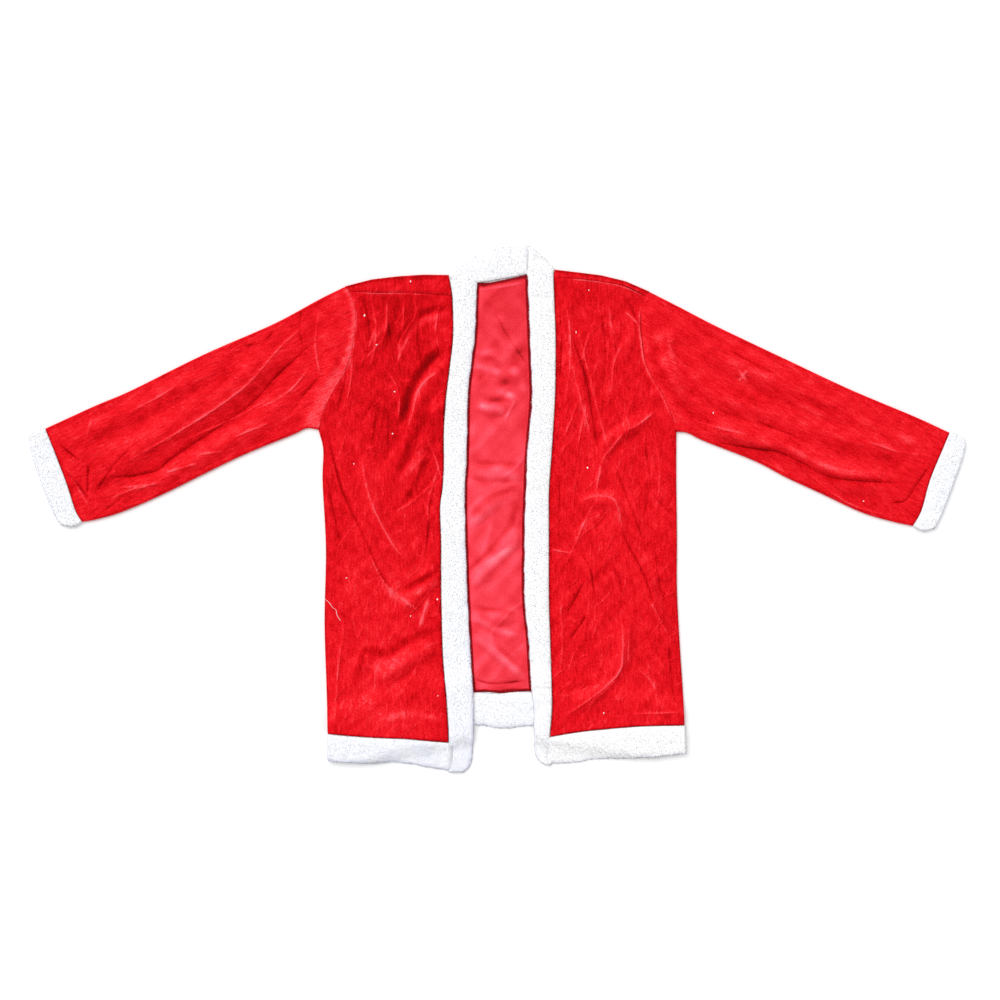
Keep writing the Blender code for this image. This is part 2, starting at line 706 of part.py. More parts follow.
front_band("band_right", plan_right, (338.0, -394.5), seam_right, edge_right, -1)
front_band("band_left", plan_left, (394.0, -383.5), seam_left, edge_left, 1)
hem_band("hem_right", plan_right[-1], HEM_EDGE_RIGHT, resting_height, -SEAM_GAP)
hem_band("hem_left", plan_left[-1], HEM_EDGE_LEFT[::-1], resting_height, SEAM_GAP)
hem_band("hem_back", back_end, HEM_EDGE_BACK, on_floor, 0.0)
neck_inner = stations(NECK_INNER, even(NECK_STEPS))
neck_outer = stations(NECK_OUTER, even(NECK_STEPS))
plush_band("neck_band", neck_inner, neck_outer, on_floor)
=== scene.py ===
import math
from collections import namedtuple

import bmesh
import bpy
import numpy as np
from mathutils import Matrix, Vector
from mathutils.bvhtree import BVHTree


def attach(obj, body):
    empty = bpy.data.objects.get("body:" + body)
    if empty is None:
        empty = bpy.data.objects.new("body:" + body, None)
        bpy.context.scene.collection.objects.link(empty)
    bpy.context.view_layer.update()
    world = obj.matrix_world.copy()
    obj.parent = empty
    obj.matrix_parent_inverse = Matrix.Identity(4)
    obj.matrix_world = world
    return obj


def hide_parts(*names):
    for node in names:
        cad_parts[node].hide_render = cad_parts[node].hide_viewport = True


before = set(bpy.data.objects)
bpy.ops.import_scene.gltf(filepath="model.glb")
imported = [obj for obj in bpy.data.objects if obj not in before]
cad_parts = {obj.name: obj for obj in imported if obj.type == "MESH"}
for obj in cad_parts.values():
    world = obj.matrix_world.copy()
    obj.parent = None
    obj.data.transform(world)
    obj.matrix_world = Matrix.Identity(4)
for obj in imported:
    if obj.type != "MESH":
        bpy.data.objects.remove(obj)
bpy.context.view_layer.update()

# Back panel. It is cut in one piece from crushed velour and lies with its pile side down.
# Its top turns over the shoulders to the seams in front, and the smooth knitted inner side
# shows in the opening, with the creases that were left by folding.

# Sizes are millimetres from the middle of the jacket. Its right is the wearer's, towards -X.
MM = 0.001
VELOUR = 1.5
PLUSH = 7.0
SEAM_GAP = 0.1
LAYER_GAP = 0.3
FOLD_RADIUS = 3.0
SHOULDER_SHARE = 0.042
HEM_HEIGHT = -340.0
NECK_EDGE_HEIGHT = 358.0
ARMHOLE_ROWS = 80
SIDE_ROWS = 165

Shoulder = namedtuple("Shoulder", "share fold seam")
Relief = namedtuple("Relief", "rise tone fold sharpness")

# Share of the way from armhole to neck, height of the folded top, height of the seam
SHOULDER_RIGHT = Shoulder(
    (0.00, 0.25, 0.50, 0.75, 1.00), (333, 343.5, 348, 350.5, 350), (324, 323, 323, 321.5, 318))
SHOULDER_LEFT = Shoulder(
    (0.00, 0.25, 0.50, 0.75, 1.00), (325, 341, 349.5, 354, 358), (319, 334, 340, 344, 346))
ARMHOLE_RIGHT = (
    (-228, 333), (-220, 320), (-212, 291), (-215, 258), (-220, 229),
    (-230, 205), (-247, 181), (-262, 143), (-268, 118),
)
ARMHOLE_LEFT = (
    (228, 325), (218, 311), (214, 293), (215, 269), (219, 238),
    (224, 212), (234, 193), (247, 173), (262, 138), (268, 115),
)
SIDE_RIGHT = (
    (-268, 118), (-261, 88), (-262, 40), (-257, -60), (-259, -170), (-256, -270), (-254, -337),
)
SIDE_LEFT = (
    (268, 115), (268, 40), (269, -40), (269, -120), (273, -200), (278, -275), (280, -324),
)

# Front bands from neck to hem: x of the seam on the panel, x of the open edge, height
BAND_RIGHT = (
    (-74, -29, 356), (-71.5, -29, 338), (-68, -30, 313), (-67, -32, 260), (-72, -38, 212),
    (-78, -43, 163), (-81, -43.5, 113), (-81, -45, 64), (-83, -47, 30), (-86.5, -47, 1),
    (-85, -46, -49), (-85, -44, -110), (-84, -41, -170), (-82, -38, -227), (-76, -34, -292),
    (-73, -35, -350), (-72, -36, -372), (-72, -40, -386), (-72, -49, -394.5),
)
BAND_LEFT = (
    (46, 44, 394.5), (58, 44, 386), (73, 44, 373), (85, 44, 360), (85, 44, 346), (86, 45, 313),
    (88, 47, 260), (88, 49, 212), (87, 50, 163), (84, 46, 113), (82, 43, 82), (78, 41, 25),
    (78, 39, -32), (78, 39, -136), (80, 45, -197), (82, 49, -265), (82, 53, -302),
    (79, 53, -341), (79, 54, -361), (79, 58, -375), (79, 69, -383.5),
)
HEM_SEAM_BACK = (
    (-254, -338), (-221, -321), (-146, -297), (-86, -282), (-35, -275), (-2, -277),
    (39, -274), (94, -280), (169, -294), (244, -314), (280, -325),
)
HEM_EDGE_BACK = (
    (-254, -378), (-215, -366), (-146, -346), (-86, -334), (-34, -326), (8, -331),
    (52, -327), (94, -333), (169, -345), (240, -359), (281, -368),
)
NECK_INNER = ((-29.5, 338.6), (-22, 339.5), (-11, 341.3), (16, 346), (43.5, 351.2))
NECK_SEAM = ((-73, 338.5), *NECK_INNER, (85, NECK_EDGE_HEIGHT - 1))

# Creases: rise above the cloth round them, half width, tone from dark to light, points.
# A dark tone is painted shade in a trough, and a light one a painted highlight on a crest.
CREASES_BACK = (
    (3.0, 15, 0.1, (-26, 236), (-8, 222), (4, 208), (16, 200), (36, 196)),
    (3.0, 14, 0.1, (-34, 196), (-18, 178), (-2, 168), (12, 176)),
    (3.0, 14, 0.1, (-30, 158), (-8, 148), (14, 156), (26, 170)),
    (2.5, 14, 0.1, (-2, 290), (16, 262), (34, 232)),
    (3.0, 15, 0.1, (-46, 60), (-10, 54), (38, 52)),
    (3.5, 17, 0.1, (-46, -22), (-20, 4), (8, 24), (34, 34)),
    (3.5, 17, 0.1, (-40, -116), (-8, -82), (18, -52), (36, -36)),
    (3.0, 15, 0.1, (-36, -160), (-6, -166), (28, -160)),
    (3.5, 16, 0.1, (-30, -186), (0, -214), (34, -252)),
    (-1.0, 5, -0.3, (-5, 293), (16, 256), (46, 212)),
    (0.8, 9, 0.15, (-17, 293), (4, 253), (25, 214)),
    (-1.0, 8, -0.55, (-36, 227), (-9, 223), (8, 209)),
    (1.0, 8, 0.5, (-35, 214), (-14, 209), (6, 200)),
    (-1.0, 7.5, -0.5, (-40, 180), (-30, 190), (-17, 203)),
    (-1.0, 9, -0.5, (0, 184), (12, 188), (24, 200)),
    (1.0, 10, 0.4, (18, 212), (32, 198), (46, 170)),
    (1.0, 8, 0.5, (2, 175), (16, 170), (28, 165)),
    (-0.8, 7.5, -0.45, (-16, 161), (4, 161), (21, 160)),
    (1.0, 8, 0.5, (-30, 154), (-8, 149), (13, 145)),
    (0.8, 4, 0.3, (28, 163), (20, 148), (11, 132)),
    (-0.8, 8, -0.4, (-44, 67), (-2, 65), (42, 62)),
    (0.8, 9, 0.3, (-41, 52), (-2, 48), (38, 48)),
    (-1.2, 8, -0.5, (-43, -15), (-10, 15), (35, 33)),
    (1.0, 9, 0.4, (-43, -30), (-8, 0), (35, 21)),
    (-1.2, 8, -0.5, (-41, -95), (-5, -60), (20, -26), (30, 5)),
    (1.2, 9, 0.5, (-39, -119), (-10, -86), (36, -45)),
    (-1.0, 7, -0.45, (-36, -151), (-4, -154), (33, -161)),
    (1.0, 8, 0.45, (-37, -163), (-5, -180), (32, -193)),
    (1.0, 8, 0.4, (-35, -192), (-5, -215), (43, -257)),
    (-1.2, 7, -0.45, (-10, -196), (10, -216), (44, -247)),
    (-1.2, 4, -0.9, (-34, -256), (-10, -263), (41, -259)),
    (1.0, 4, 0.25, (-30, 327), (4, 331), (43, 339)),
    (-1.0, 4, -0.8, (-29, 336), (-20, 333), (-8, 337)),
)
BACK_LOOSENESS = 1.0
LIGHT_FROM = np.array([-0.5, 0.87])

# Share of a crease's length over which it starts and ends, the half width below which it
# is sharp, the distances over which its sharpness is lost, and what stands for no fold
FADE_IN = (-0.05, 0.2)
FADE_OUT = (1.05, 0.8)
SHARP_BELOW = 7.0
HELD_WITHIN = (11.0, 6.0)
NO_FOLD = 12.0

# Distances over which the opening's cloth comes loose from what is sewn to it
LOOSE_AT_BANDS = (0, 11)
LOOSE_AT_NECK = (0, 30)
LOOSE_AT_HEM = (0, 14)

# Shades of the opening: how dark, and the distances at which each starts and is full
SHADE_AT_BANDS = (1.2, 2.8, 1.4)
SHADE_AT_NECK = (1.5, 6.0, 3.0)
SHADE_AT_HEM = (1.3, 5.0, 3.0)
SHADE_UPWARD = (0.22, 60, 300)
TURNED_EDGE_ROWS = 4
TURNED_SHADE = 0.4


def smooth(start, end, value):
    """Ease from 0 at start to 1 at end."""
    share = np.clip((value - start) / (end - start), 0.0, 1.0)
    return share * share * (3.0 - 2.0 * share)


def curve(points, per_span=12):
    """Close points along a smooth curve through the given points."""
    p = np.array(points, float)
    p = np.vstack([2 * p[0] - p[1], p, 2 * p[-1] - p[-2]])
    t = (np.arange(per_span) / per_span)[:, None]
    spans = []
    for a, b, c, d in zip(p, p[1:], p[2:], p[3:]):
        square = (2 * a - 5 * b + 4 * c - d) * t ** 2
        cube = (3 * b - a - 3 * c + d) * t ** 3
        spans.append((2 * b + (c - a) * t + square + cube) / 2)
    return np.vstack([*spans, p[-2:-1]])


def stations(points, shares):
    """Points at the given shares of the length of the smooth curve through points."""
    fine = curve(points)
    steps = np.linalg.norm(np.diff(fine, axis=0), axis=1)
    reached = np.concatenate([[0.0], np.cumsum(steps)]) / steps.sum()
    return np.stack([np.interp(shares, reached, fine[:, k]) for k in (0, 1)], axis=-1)


def reading(points, given, wanted):
    """Function that reads one coordinate of a smooth curve at a value of the other."""
    fine = curve(points)
    fine = fine[np.argsort(fine[:, given], kind="stable")]
    return lambda value: np.interp(value, fine[:, given], fine[:, wanted])


def to_path(points, path):
    """Distance to a path, share of it reached there, and whether that is its lit side."""
    steps = np.diff(path, axis=0)
    lengths = np.linalg.norm(steps, axis=1)
    before = np.concatenate([[0.0], np.cumsum(lengths)])
    lit = np.sign(np.cross(path[-1] - path[0], LIGHT_FROM)) or 1.0
    nearest = np.full(points.shape[:-1], 1e9)
    share = np.zeros(points.shape[:-1])
    side = np.ones(points.shape[:-1])
    for start, step, length, passed in zip(path, steps, lengths, before):
        if length == 0.0:
            continue
        part = np.clip((points - start) @ step / length ** 2, 0.0, 1.0)
        off = points - start - part[..., None] * step
        away = np.linalg.norm(off, axis=-1)
        closer = away < nearest
        nearest = np.where(closer, away, nearest)
        share = np.where(closer, (passed + part * length) / before[-1], share)
        turned = step[0] * off[..., 1] - step[1] * off[..., 0]
        side = np.where(closer, lit * np.sign(turned), side)
    return nearest, share, side


def away_from(points, *paths):
    """Distance to the nearest of some paths."""
    return np.min([to_path(points, path)[0] for path in paths], axis=0)


def crease(points, creases):
    """Rise, tone of painted shade and highlight, distance to the nearest sharp fold and how sharp
    a ridge it is.
    """
    total_rise, total_tone, sharpness = np.zeros((3, *points.shape[:-1]))
    fold = np.full(points.shape[:-1], NO_FOLD)
    for number, (rise, width, tone, *path) in enumerate(creases):
        away, share, side = to_path(points, curve(path, 4))
        crown = np.clip(1.0 - (away / width) ** 2, 0.0, 1.0) ** 2
        along = smooth(*FADE_IN, share) * smooth(*FADE_OUT, share)
        along *= 1.0 + 0.3 * np.sin(9.0 * share + 2.1 * number)
        sharp = width < SHARP_BELOW
        dark = 0.7 if tone < 0 else 1.0
        total_rise += rise * crown * along * (0.6 if sharp else 1.0)
        # Painted shade along dark creases and painted highlight along light ones; wide entries
        # without rise darken or lighten a whole region
        total_tone += tone * dark * crown * along * (0.5 if sharp else 1.0)
        if sharp:
            closer = away < np.abs(fold)
            fold = np.where(closer, away * side, fold)
            held = along * smooth(*HELD_WITHIN, away) * min(1.0, 0.35 + abs(tone))
            sharpness = np.where(closer, held * (-dark if tone < 0 else 1.0), sharpness)
    return Relief(total_rise, total_tone, fold, sharpness)


def edge_shade(distance, depth, start, full):
    """Painted shade that darkens cloth towards a seam or an edge."""
    return depth * smooth(start, full, distance)


def lit_tone(points):
    """Painted light and shade on the slopes of the folds: lighter where a slope faces the light,
    darker where it faces away.
    """
    down, across = np.gradient(points, axis=(0, 1))
    normal = np.cross(down, across)
    normal /= np.maximum(np.linalg.norm(normal, axis=-1, keepdims=True), 1e-9)
    normal *= np.where(normal[..., 2:] < 0, -1.0, 1.0)
    return np.clip(0.6 * (normal[..., :2] @ LIGHT_FROM), -0.2, 0.25)


def swell(points, size, seed):
    """Soft uneven swell of about the given size, between -1 and 1."""
    chance = np.random.default_rng(seed)
    total = 0.0
    for wave in range(6):
        turn = chance.uniform(0, math.tau)
        across = np.array([math.cos(turn), math.sin(turn)]) * math.tau / size
        across *= chance.uniform(0.6, 1.5)
        bend = 1.4 * np.sin(0.6 * (points @ across[::-1]) + chance.uniform(0, math.tau))
        total = total + np.sin(points @ across + bend + chance.uniform(0, math.tau))
    return total / 3.0


def outer_line(armhole, side):
    """Points down the armhole and then down the side to the hem."""
    rest = SHOULDER_SHARE + (1 - SHOULDER_SHARE) * np.linspace(0, 1, ARMHOLE_ROWS)
    down_side = stations(side, np.linspace(0, 1, SIDE_ROWS))[1:]
    return np.vstack([stations(armhole, [0.0, *rest]), down_side])


def panel_plan(outer, tops, shoulder, seam_x, hem_height, shares):
    """Plan points of a panel, in rows from shoulder to hem and columns from side to band."""
    down = (outer[:, 1:] - outer[0, 1]) / (outer[-1, 1] - outer[0, 1])
    top = np.interp(shares, shoulder.share, tops)
    hem_x = outer[-1, 0] + (seam_x(HEM_HEIGHT) - outer[-1, 0]) * shares
    hem = np.where(shares == 0, outer[-1, 1], hem_height(hem_x))
    height = top + (hem - top) * down
    x = outer[:, :1] + (seam_x(height) - outer[:, :1]) * shares
    return np.stack([x, height], axis=-1)


def raised(plan, z):
    """Points in space over plan points."""
    return np.concatenate([plan, np.broadcast_to(z, plan.shape[:-1])[..., None]], axis=-1)


def cloth_mesh(name, points, kept, side=1, closed=False):
    """Mesh of quads between rows of points in millimetres, which keeps values at them.

    Side -1 takes each row from its other end, so that the faces look outward.
    """
    points = points[:, ::side]
    rows, columns = points.shape[:2]
    number = np.arange(rows * columns).reshape(rows, columns)
    left = number if closed else number[:, :-1]
    right = np.roll(number, -1, axis=1) if closed else number[:, 1:]
    quads = np.stack([left[:-1], right[:-1], right[1:], left[1:]], axis=-1).reshape(-1, 4)
    there = ~np.isnan(points[..., 0]).ravel()
    quads = quads[there[quads].all(axis=1)]
    renumbered = np.cumsum(there) - 1
    mesh = bpy.data.meshes.new(name)
    corners = points.reshape(-1, 3)[there] * MM
    mesh.from_pydata(corners.tolist(), [], renumbered[quads].tolist())
    for attribute, values in kept.items():
        layer = mesh.attributes.new(attribute, "FLOAT", "POINT")
        layer.data.foreach_set("value", values[:, ::side].ravel()[there])
    mesh.shade_smooth()
    return mesh


def placed(name, data):
    """New object in the scene."""
    new = bpy.data.objects.new(name, data)
    bpy.context.collection.objects.link(new)
    return new


def piece_of(mesh):
    """Object that moves with the jacket."""
    piece = placed(mesh.name, mesh)
    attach(piece, "root")
    return piece


def sew(mesh, materials, node):
    """Object that stands for a node of the jacket."""
    for material in materials:
        mesh.materials.append(material)
    piece = piece_of(mesh)
    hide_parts(node)
    return piece


def thicken(piece, thickness, inner_material=0):
    """Give an open surface a wall on its inner side."""
    wall = piece.modifiers.new("Wall", "SOLIDIFY")
    wall.thickness = thickness * MM
    wall.offset = -1.0
    wall.material_offset = inner_material


class Amount:
    """Number, colour or vector that varies over a surface, for use in ordinary sums."""

    def __init__(self, finish, socket):
        self.finish = finish
        self.socket = socket

    def worked(self, operation, *terms):
        return self.finish.node("ShaderNodeMath", {"operation": operation}, dict(enumerate(terms)))

    def __add__(self, other):
        return self.worked("ADD", self, other)

    def __sub__(self, other):
        return self.worked("SUBTRACT", self, other)

    def __rsub__(self, other):
        return self.worked("SUBTRACT", other, self)

    def __mul__(self, other):
        return self.worked("MULTIPLY", self, other)

    def __truediv__(self, other):
        return self.worked("DIVIDE", self, other)

    def __rtruediv__(self, other):
        return self.worked("DIVIDE", other, self)

    __radd__ = __add__
    __rmul__ = __mul__


class Finish:
    """Material of one cloth. Its fixed values sit on the shader itself."""

    def __init__(self, name, fixed):
        self.material = bpy.data.materials.new(name)
        self.material.use_nodes = True
        self.tree = self.material.node_tree
        self.shader = self.tree.nodes["Principled BSDF"]
        self.place = self.node("ShaderNodeTexCoord", {}, {}, "Object")
        for socket, value in fixed.items():
            self.shader.inputs[socket].default_value = value

    def node(self, kind, settings, values, output=0):
        """Add a node, set it up, then give its sockets their values or links."""
        node = self.tree.nodes.new(kind)
        for name, value in settings.items():
            if name == "stops":
                self.set_stops(node.color_ramp, value)
            else:
                setattr(node, name, value)
        for socket, value in values.items():
            self.feed(node.inputs[socket], value)
        return Amount(self, node.outputs[output])

    def feed(self, socket, value):
        """Link an amount to a socket, or set a fixed value there."""
        if isinstance(value, Amount):
            self.tree.links.new(value.socket, socket)
        else:
            socket.default_value = value

    def vary(self, name, amount):
        """Let an amount set a value of the shader over the surface."""
        self.feed(self.shader.inputs[name], amount)

    def colour(self, stops, tone):
        """Colour the surface from a ramp, read at a tone."""
        self.vary("Base Color", self.node("ShaderNodeValToRGB", {"stops": stops}, {0: tone}))

    def set_stops(self, ramp, stops):
        """Give a ramp its places and colours."""
        while len(ramp.elements) < len(stops):
            ramp.elements.new(0.5)
        for element, (place, colour) in zip(ramp.elements, stops):
            element.position = place
            element.color = (*colour, 1.0)

    def grown(self, turn, stretch):
        """Place on the cloth, drawn out along a direction at an angle to its length."""
        return self.node("ShaderNodeMapping", {"vector_type": "TEXTURE"}, {
            "Vector": self.place, "Rotation": (0.0, 0.0, turn), "Scale": (1.0, stretch, 1.0)})

    def attribute(self, name):
        """Value that a mesh keeps at its points."""
        return self.node("ShaderNodeAttribute", {"attribute_name": name}, {}, "Fac")

    def noise(self, vector, scale, detail, distortion=0.0):
        """Noise between about 0 and 1, with so many patches to the metre."""
        values = {"Vector": vector, "Scale": scale, "Detail": detail, "Distortion": distortion}
        return self.node("ShaderNodeTexNoise", {}, values)

    def within(self, amount, low, high):
        """Ease from 0 where an amount is low to 1 where it is high."""
        return self.node("ShaderNodeMapRange", {"interpolation_type": "SMOOTHSTEP"}, {
            "Value": amount, "From Min": low, "From Max": high})

    def bump(self, height, depth, strength, normal=None):
        """Relief of the given depth in metres, on top of another where one is given."""
        values = {"Height": height, "Distance": depth, "Strength": strength}
        if normal is not None:
            values["Normal"] = normal
        return self.node("ShaderNodeBump", {}, values)


def placed_folds(cloth, narrow):
    """Crests of the sharp creases that the mesh keeps, for relief and a painted highlight, and
    their flanks, for painted light and shade.
    """
    fold = cloth.attribute("fold") * narrow
    sharp = cloth.attribute("sharpness")
    square = fold * fold
    return sharp / (1.0 + square), sharp * fold / (1.0 + square * square)


def thin_folds(cloth, size, narrow, turn, stretch):
    """Thin crooked ridges of crushed cloth, which mostly run one way: their crests, for relief and
    a painted highlight, and their flanks, for painted light and shade.
    """
    away = (cloth.noise(cloth.grown(turn, stretch), size, 1.2, distortion=0.25) - 0.5) * narrow
    square = away * away
    return 1.0 / (1.0 + square), away / (1.0 + square * square)


def velour(name, turn, crushed):
    """Red velour, more or less crushed, whose pile lies at an angle to the jacket's length."""
    cloth = Finish(name, {
        "Sheen Weight": 0.16,
        "Sheen Roughness": 0.4,
        "Sheen Tint": (1.0, 0.16, 0.2, 1.0),
        "Specular IOR Level": 0.06,
    })
    nap = cloth.attribute("nap")
    crest, flank = placed_folds(cloth, 0.75)
    grown = cloth.grown(turn, 7.0)
    rib = cloth.noise(grown, 420.0, 2.0, distortion=0.3) - 0.5
    streak = cloth.noise(grown, 90.0, 3.0, distortion=0.8) - 0.5
    long_crest, long_flank = thin_folds(cloth, 34.0, 70.0, turn - 0.2, 5.0)
    cross_crest, cross_flank = thin_folds(cloth, 46.0, 56.0, turn - 0.75, 4.5)
    patches = cloth.noise(cloth.place, 22.0, 2.0, distortion=0.5)
    here = cloth.within(patches, 0.58, 0.4)
    there = cloth.within(patches, 0.45, 0.62)
    fine_crest, fine_flank = thin_folds(cloth, 85.0, 36.0, turn + 0.15, 3.6)
    crush = long_crest * here + cross_crest * there + fine_crest * 0.45
    crease_light_and_shade = long_flank * here + cross_flank * there + fine_flank * 0.45
    mottle = cloth.noise(cloth.place, 60.0, 3.0, distortion=0.8) - 0.5
    pile = cloth.noise(cloth.place, 560.0, 2.0) - 0.5
    # Tone: painted highlight on the crests and painted light and shade on the flanks of creases,
    # with the cloth's own streaks, mottle, ribs and pile
    tone = nap + flank * 0.5 + crest * 0.32
    tone = tone + crease_light_and_shade * (0.28 * crushed) + (crush - 0.3) * (0.2 * crushed)
    tone = tone + streak * 0.2 + mottle * (0.04 * crushed) + rib * 0.9 + pile * 1.4
    # Reds from the darkest, which also serves as painted shade, to the pink that serves as painted
    # highlight
    reds = (
        (0.0, (0.20, 0.000, 0.001)),
        (0.3, (0.47, 0.000, 0.002)),
        (0.5, (0.725, 0.003, 0.009)),
        (0.7, (0.87, 0.014, 0.023)),
        (1.0, (1.00, 0.095, 0.120)),
    )
    cloth.colour(reds, tone * 0.5 + 0.5)
    cloth.vary("Roughness", 0.8 - tone * 0.1)
    relief = cloth.bump(crush + crest * 1.5, 0.0010, 0.8)
    cloth.vary("Normal", cloth.bump(pile + rib, 0.0004, 0.6, relief))
    return cloth.material


def knit(name):
    """Smooth knitted side of the velour, paler than its pile, with very fine ribs."""
    cloth = Finish(name, {
        "Sheen Weight": 0.12,
        "Sheen Roughness": 0.5,
        "Sheen Tint": (1.0, 0.4, 0.45, 1.0),
        "Specular IOR Level": 0.1,
    })
    nap = cloth.attribute("nap")
    crest, flank = placed_folds(cloth, 0.6)
    mottle = cloth.noise(cloth.place, 16.0, 3.0, distortion=0.6) - 0.5
    pulled, pulled_flank = thin_folds(cloth, 14.0, 30.0, -0.75, 3.3)
    ribs = cloth.node("ShaderNodeTexWave", {"bands_direction": "X"}, {
        "Vector": cloth.place, "Scale": 95.0, "Distortion": 0.8, "Detail": 1.0})
    grain = cloth.noise(cloth.place, 420.0, 2.0) - 0.5
    # Tone: painted highlight on crests and painted light and shade on the flanks of creases and
    # pulls, with the knit's own mottle, ribs and grain
    tone = nap + flank * 0.5 + crest * 0.35 + (pulled - 0.3) * 0.15 + pulled_flank * 0.25
    tone = tone + mottle * 0.5 + (ribs - 0.5) * 0.08 + grain * 0.7
    pinks = (
        (0.0, (0.24, 0.000, 0.003)),
        (0.3, (0.72, 0.016, 0.028)),
        (0.5, (0.86, 0.038, 0.062)),
        (0.75, (0.94, 0.085, 0.130)),
        (1.0, (1.00, 0.210, 0.270)),
    )
    cloth.colour(pinks, tone * 0.5 + 0.5)
    cloth.vary("Roughness", 0.65 - tone * 0.1)
    relief = cloth.bump(pulled + crest, 0.0010, 0.7)
    cloth.vary("Normal", cloth.bump(ribs, 0.0002, 0.5, relief))
    return cloth.material


seam_right, edge_right, seam_left, edge_left = [
    reading([(row[column], row[2]) for row in band], 1, 0)
    for band in (BAND_RIGHT, BAND_LEFT) for column in (0, 1)]
back_hem_seam = reading(HEM_SEAM_BACK, 0, 1)
back_hem_edge = reading(HEM_EDGE_BACK, 0, 1)
neck_seam = reading(NECK_SEAM, 0, 1)
outer_right = outer_line(ARMHOLE_RIGHT, SIDE_RIGHT)
outer_left = outer_line(ARMHOLE_LEFT, SIDE_LEFT)


def back_half(shoulder, outer, seam_x, shares):
    """One half of the back: its strip in front of the shoulder, the fold, and its plan."""
    up_armhole = (outer[0] - outer[1]) / np.linalg.norm(outer[0] - outer[1])
    part = np.clip(shares / shoulder.share[1], 0.0, 1.0)[:, None]
    outward = up_armhole * (1 - part) + np.array([0.0, 1.0]) * part
    outward /= np.linalg.norm(outward, axis=1, keepdims=True)
    inset = outer.copy()
    inset[0] = outer[0] - up_armhole * FOLD_RADIUS
    tops = [inset[0, 1], *[fold - FOLD_RADIUS for fold in shoulder.fold[1:]]]
    plan = panel_plan(inset, tops, shoulder, seam_x, back_hem_seam, shares)
    centre = plan[0]
    height = np.interp(shares, shoulder.share, [outer[1, 1], *shoulder.seam[1:]])
    seam = np.stack([seam_x(height) + centre[:, 0] - seam_x(centre[:, 1]), height + SEAM_GAP], 1)
    seam = (outer[1] + up_armhole * SEAM_GAP) * (1 - part) + seam * part
    rows = [raised(seam + (centre - seam) * way, 2 * FOLD_RADIUS) for way in (0, 0.25, 0.5, 0.75)]
    for turn in np.radians((90, 70, 50, 30, 10, -10, -30, -50, -70)):
        z = FOLD_RADIUS * (1 + math.sin(turn))
        rows.append(raised(centre + outward * FOLD_RADIUS * math.cos(turn), z))
    return np.array(rows), plan


half_shares = np.linspace(0, 1, 34)
turned_right, plan_right = back_half(SHOULDER_RIGHT, outer_right, seam_right, half_shares)
turned_left, plan_left = back_half(SHOULDER_LEFT, outer_left, seam_left, half_shares)
down_middle = np.mean([
    (outer[:, 1] - outer[0, 1]) / (outer[-1, 1] - outer[0, 1])
    for outer in (outer_right, outer_left)], axis=0)
columns = []
for start, end, shares in (
        (seam_right, edge_right, (0.02, 0.2, 0.4, 0.6, 0.8)),
        (edge_right, edge_left, 0.5 - 0.5 * np.cos(np.linspace(0, math.pi, 46))),
        (edge_left, seam_left, (0.2, 0.4, 0.6, 0.8, 0.93))):
    for share in shares:
        x = start(0) + (end(0) - start(0)) * share
        height = neck_seam(x) + (back_hem_seam(x) - neck_seam(x)) * down_middle
        x = start(height) + (end(height) - start(height)) * share
        columns.append(np.stack([x, height], axis=-1))
opening = np.stack(columns, axis=1)
x, height = opening[..., 0], opening[..., 1]
to_bands = np.minimum(x - edge_right(height), edge_left(height) - x)
to_neck, to_hem = neck_seam(x) - height, height - back_hem_seam(x)
in_view = smooth(*LOOSE_AT_BANDS, to_bands)
in_view *= smooth(*LOOSE_AT_NECK, to_neck) * smooth(*LOOSE_AT_HEM, to_hem)
seen = crease(opening, CREASES_BACK)
loose = BACK_LOOSENESS + 0.5 * swell(opening, 70, 3)
opening = raised(opening, np.maximum(seen.rise + loose, 0.0) * in_view)
# Painted light and shade on the opening's slopes and creases, and painted shade towards the bands,
# neck and hem and growing upward
opening_tone = seen.tone + 1.5 * lit_tone(opening) + 0.15 * swell(opening[..., :2], 40, 4)
opening_tone -= edge_shade(height, *SHADE_UPWARD) + edge_shade(to_bands, *SHADE_AT_BANDS)
opening_tone -= edge_shade(to_neck, *SHADE_AT_NECK) + edge_shade(to_hem, *SHADE_AT_HEM)

missing = np.full((len(turned_right), opening.shape[1], 3), np.nan)
above = np.concatenate([turned_right, missing, turned_left[:, ::-1]], axis=1)
below = [raised(plan_right, 0.0), opening, raised(plan_left, 0.0)[:, ::-1]]
back_points = np.concatenate([above, np.concatenate(below, axis=1)], axis=0)
# Tone kept at the back's points: random unevenness, painted shade on the turned fold at the
# shoulders, and in the opening painted shade and highlight from its creases, slopes and edges
back_kept = {
    "nap": 0.15 * swell(back_points[..., :2], 36, 5),
    "fold": np.full(back_points.shape[:2], NO_FOLD),
    "sharpness": np.zeros(back_points.shape[:2]),
}
back_kept["nap"][TURNED_EDGE_ROWS:len(above)] -= TURNED_SHADE
first = plan_right.shape[1]
in_opening = np.s_[len(above):, first:first + opening.shape[1]]
back_kept["nap"][in_opening] = opening_tone
back_kept["fold"][in_opening] = seen.fold
back_kept["sharpness"][in_opening] = seen.sharpness

body_velour = velour("body_velour", 0.0, 1.0)
inner_knit = knit("inner_knit")
back = sew(
    cloth_mesh("back_cloth", back_points, back_kept), [body_velour, inner_knit],
    "back")
thicken(back, VELOUR, inner_material=1)

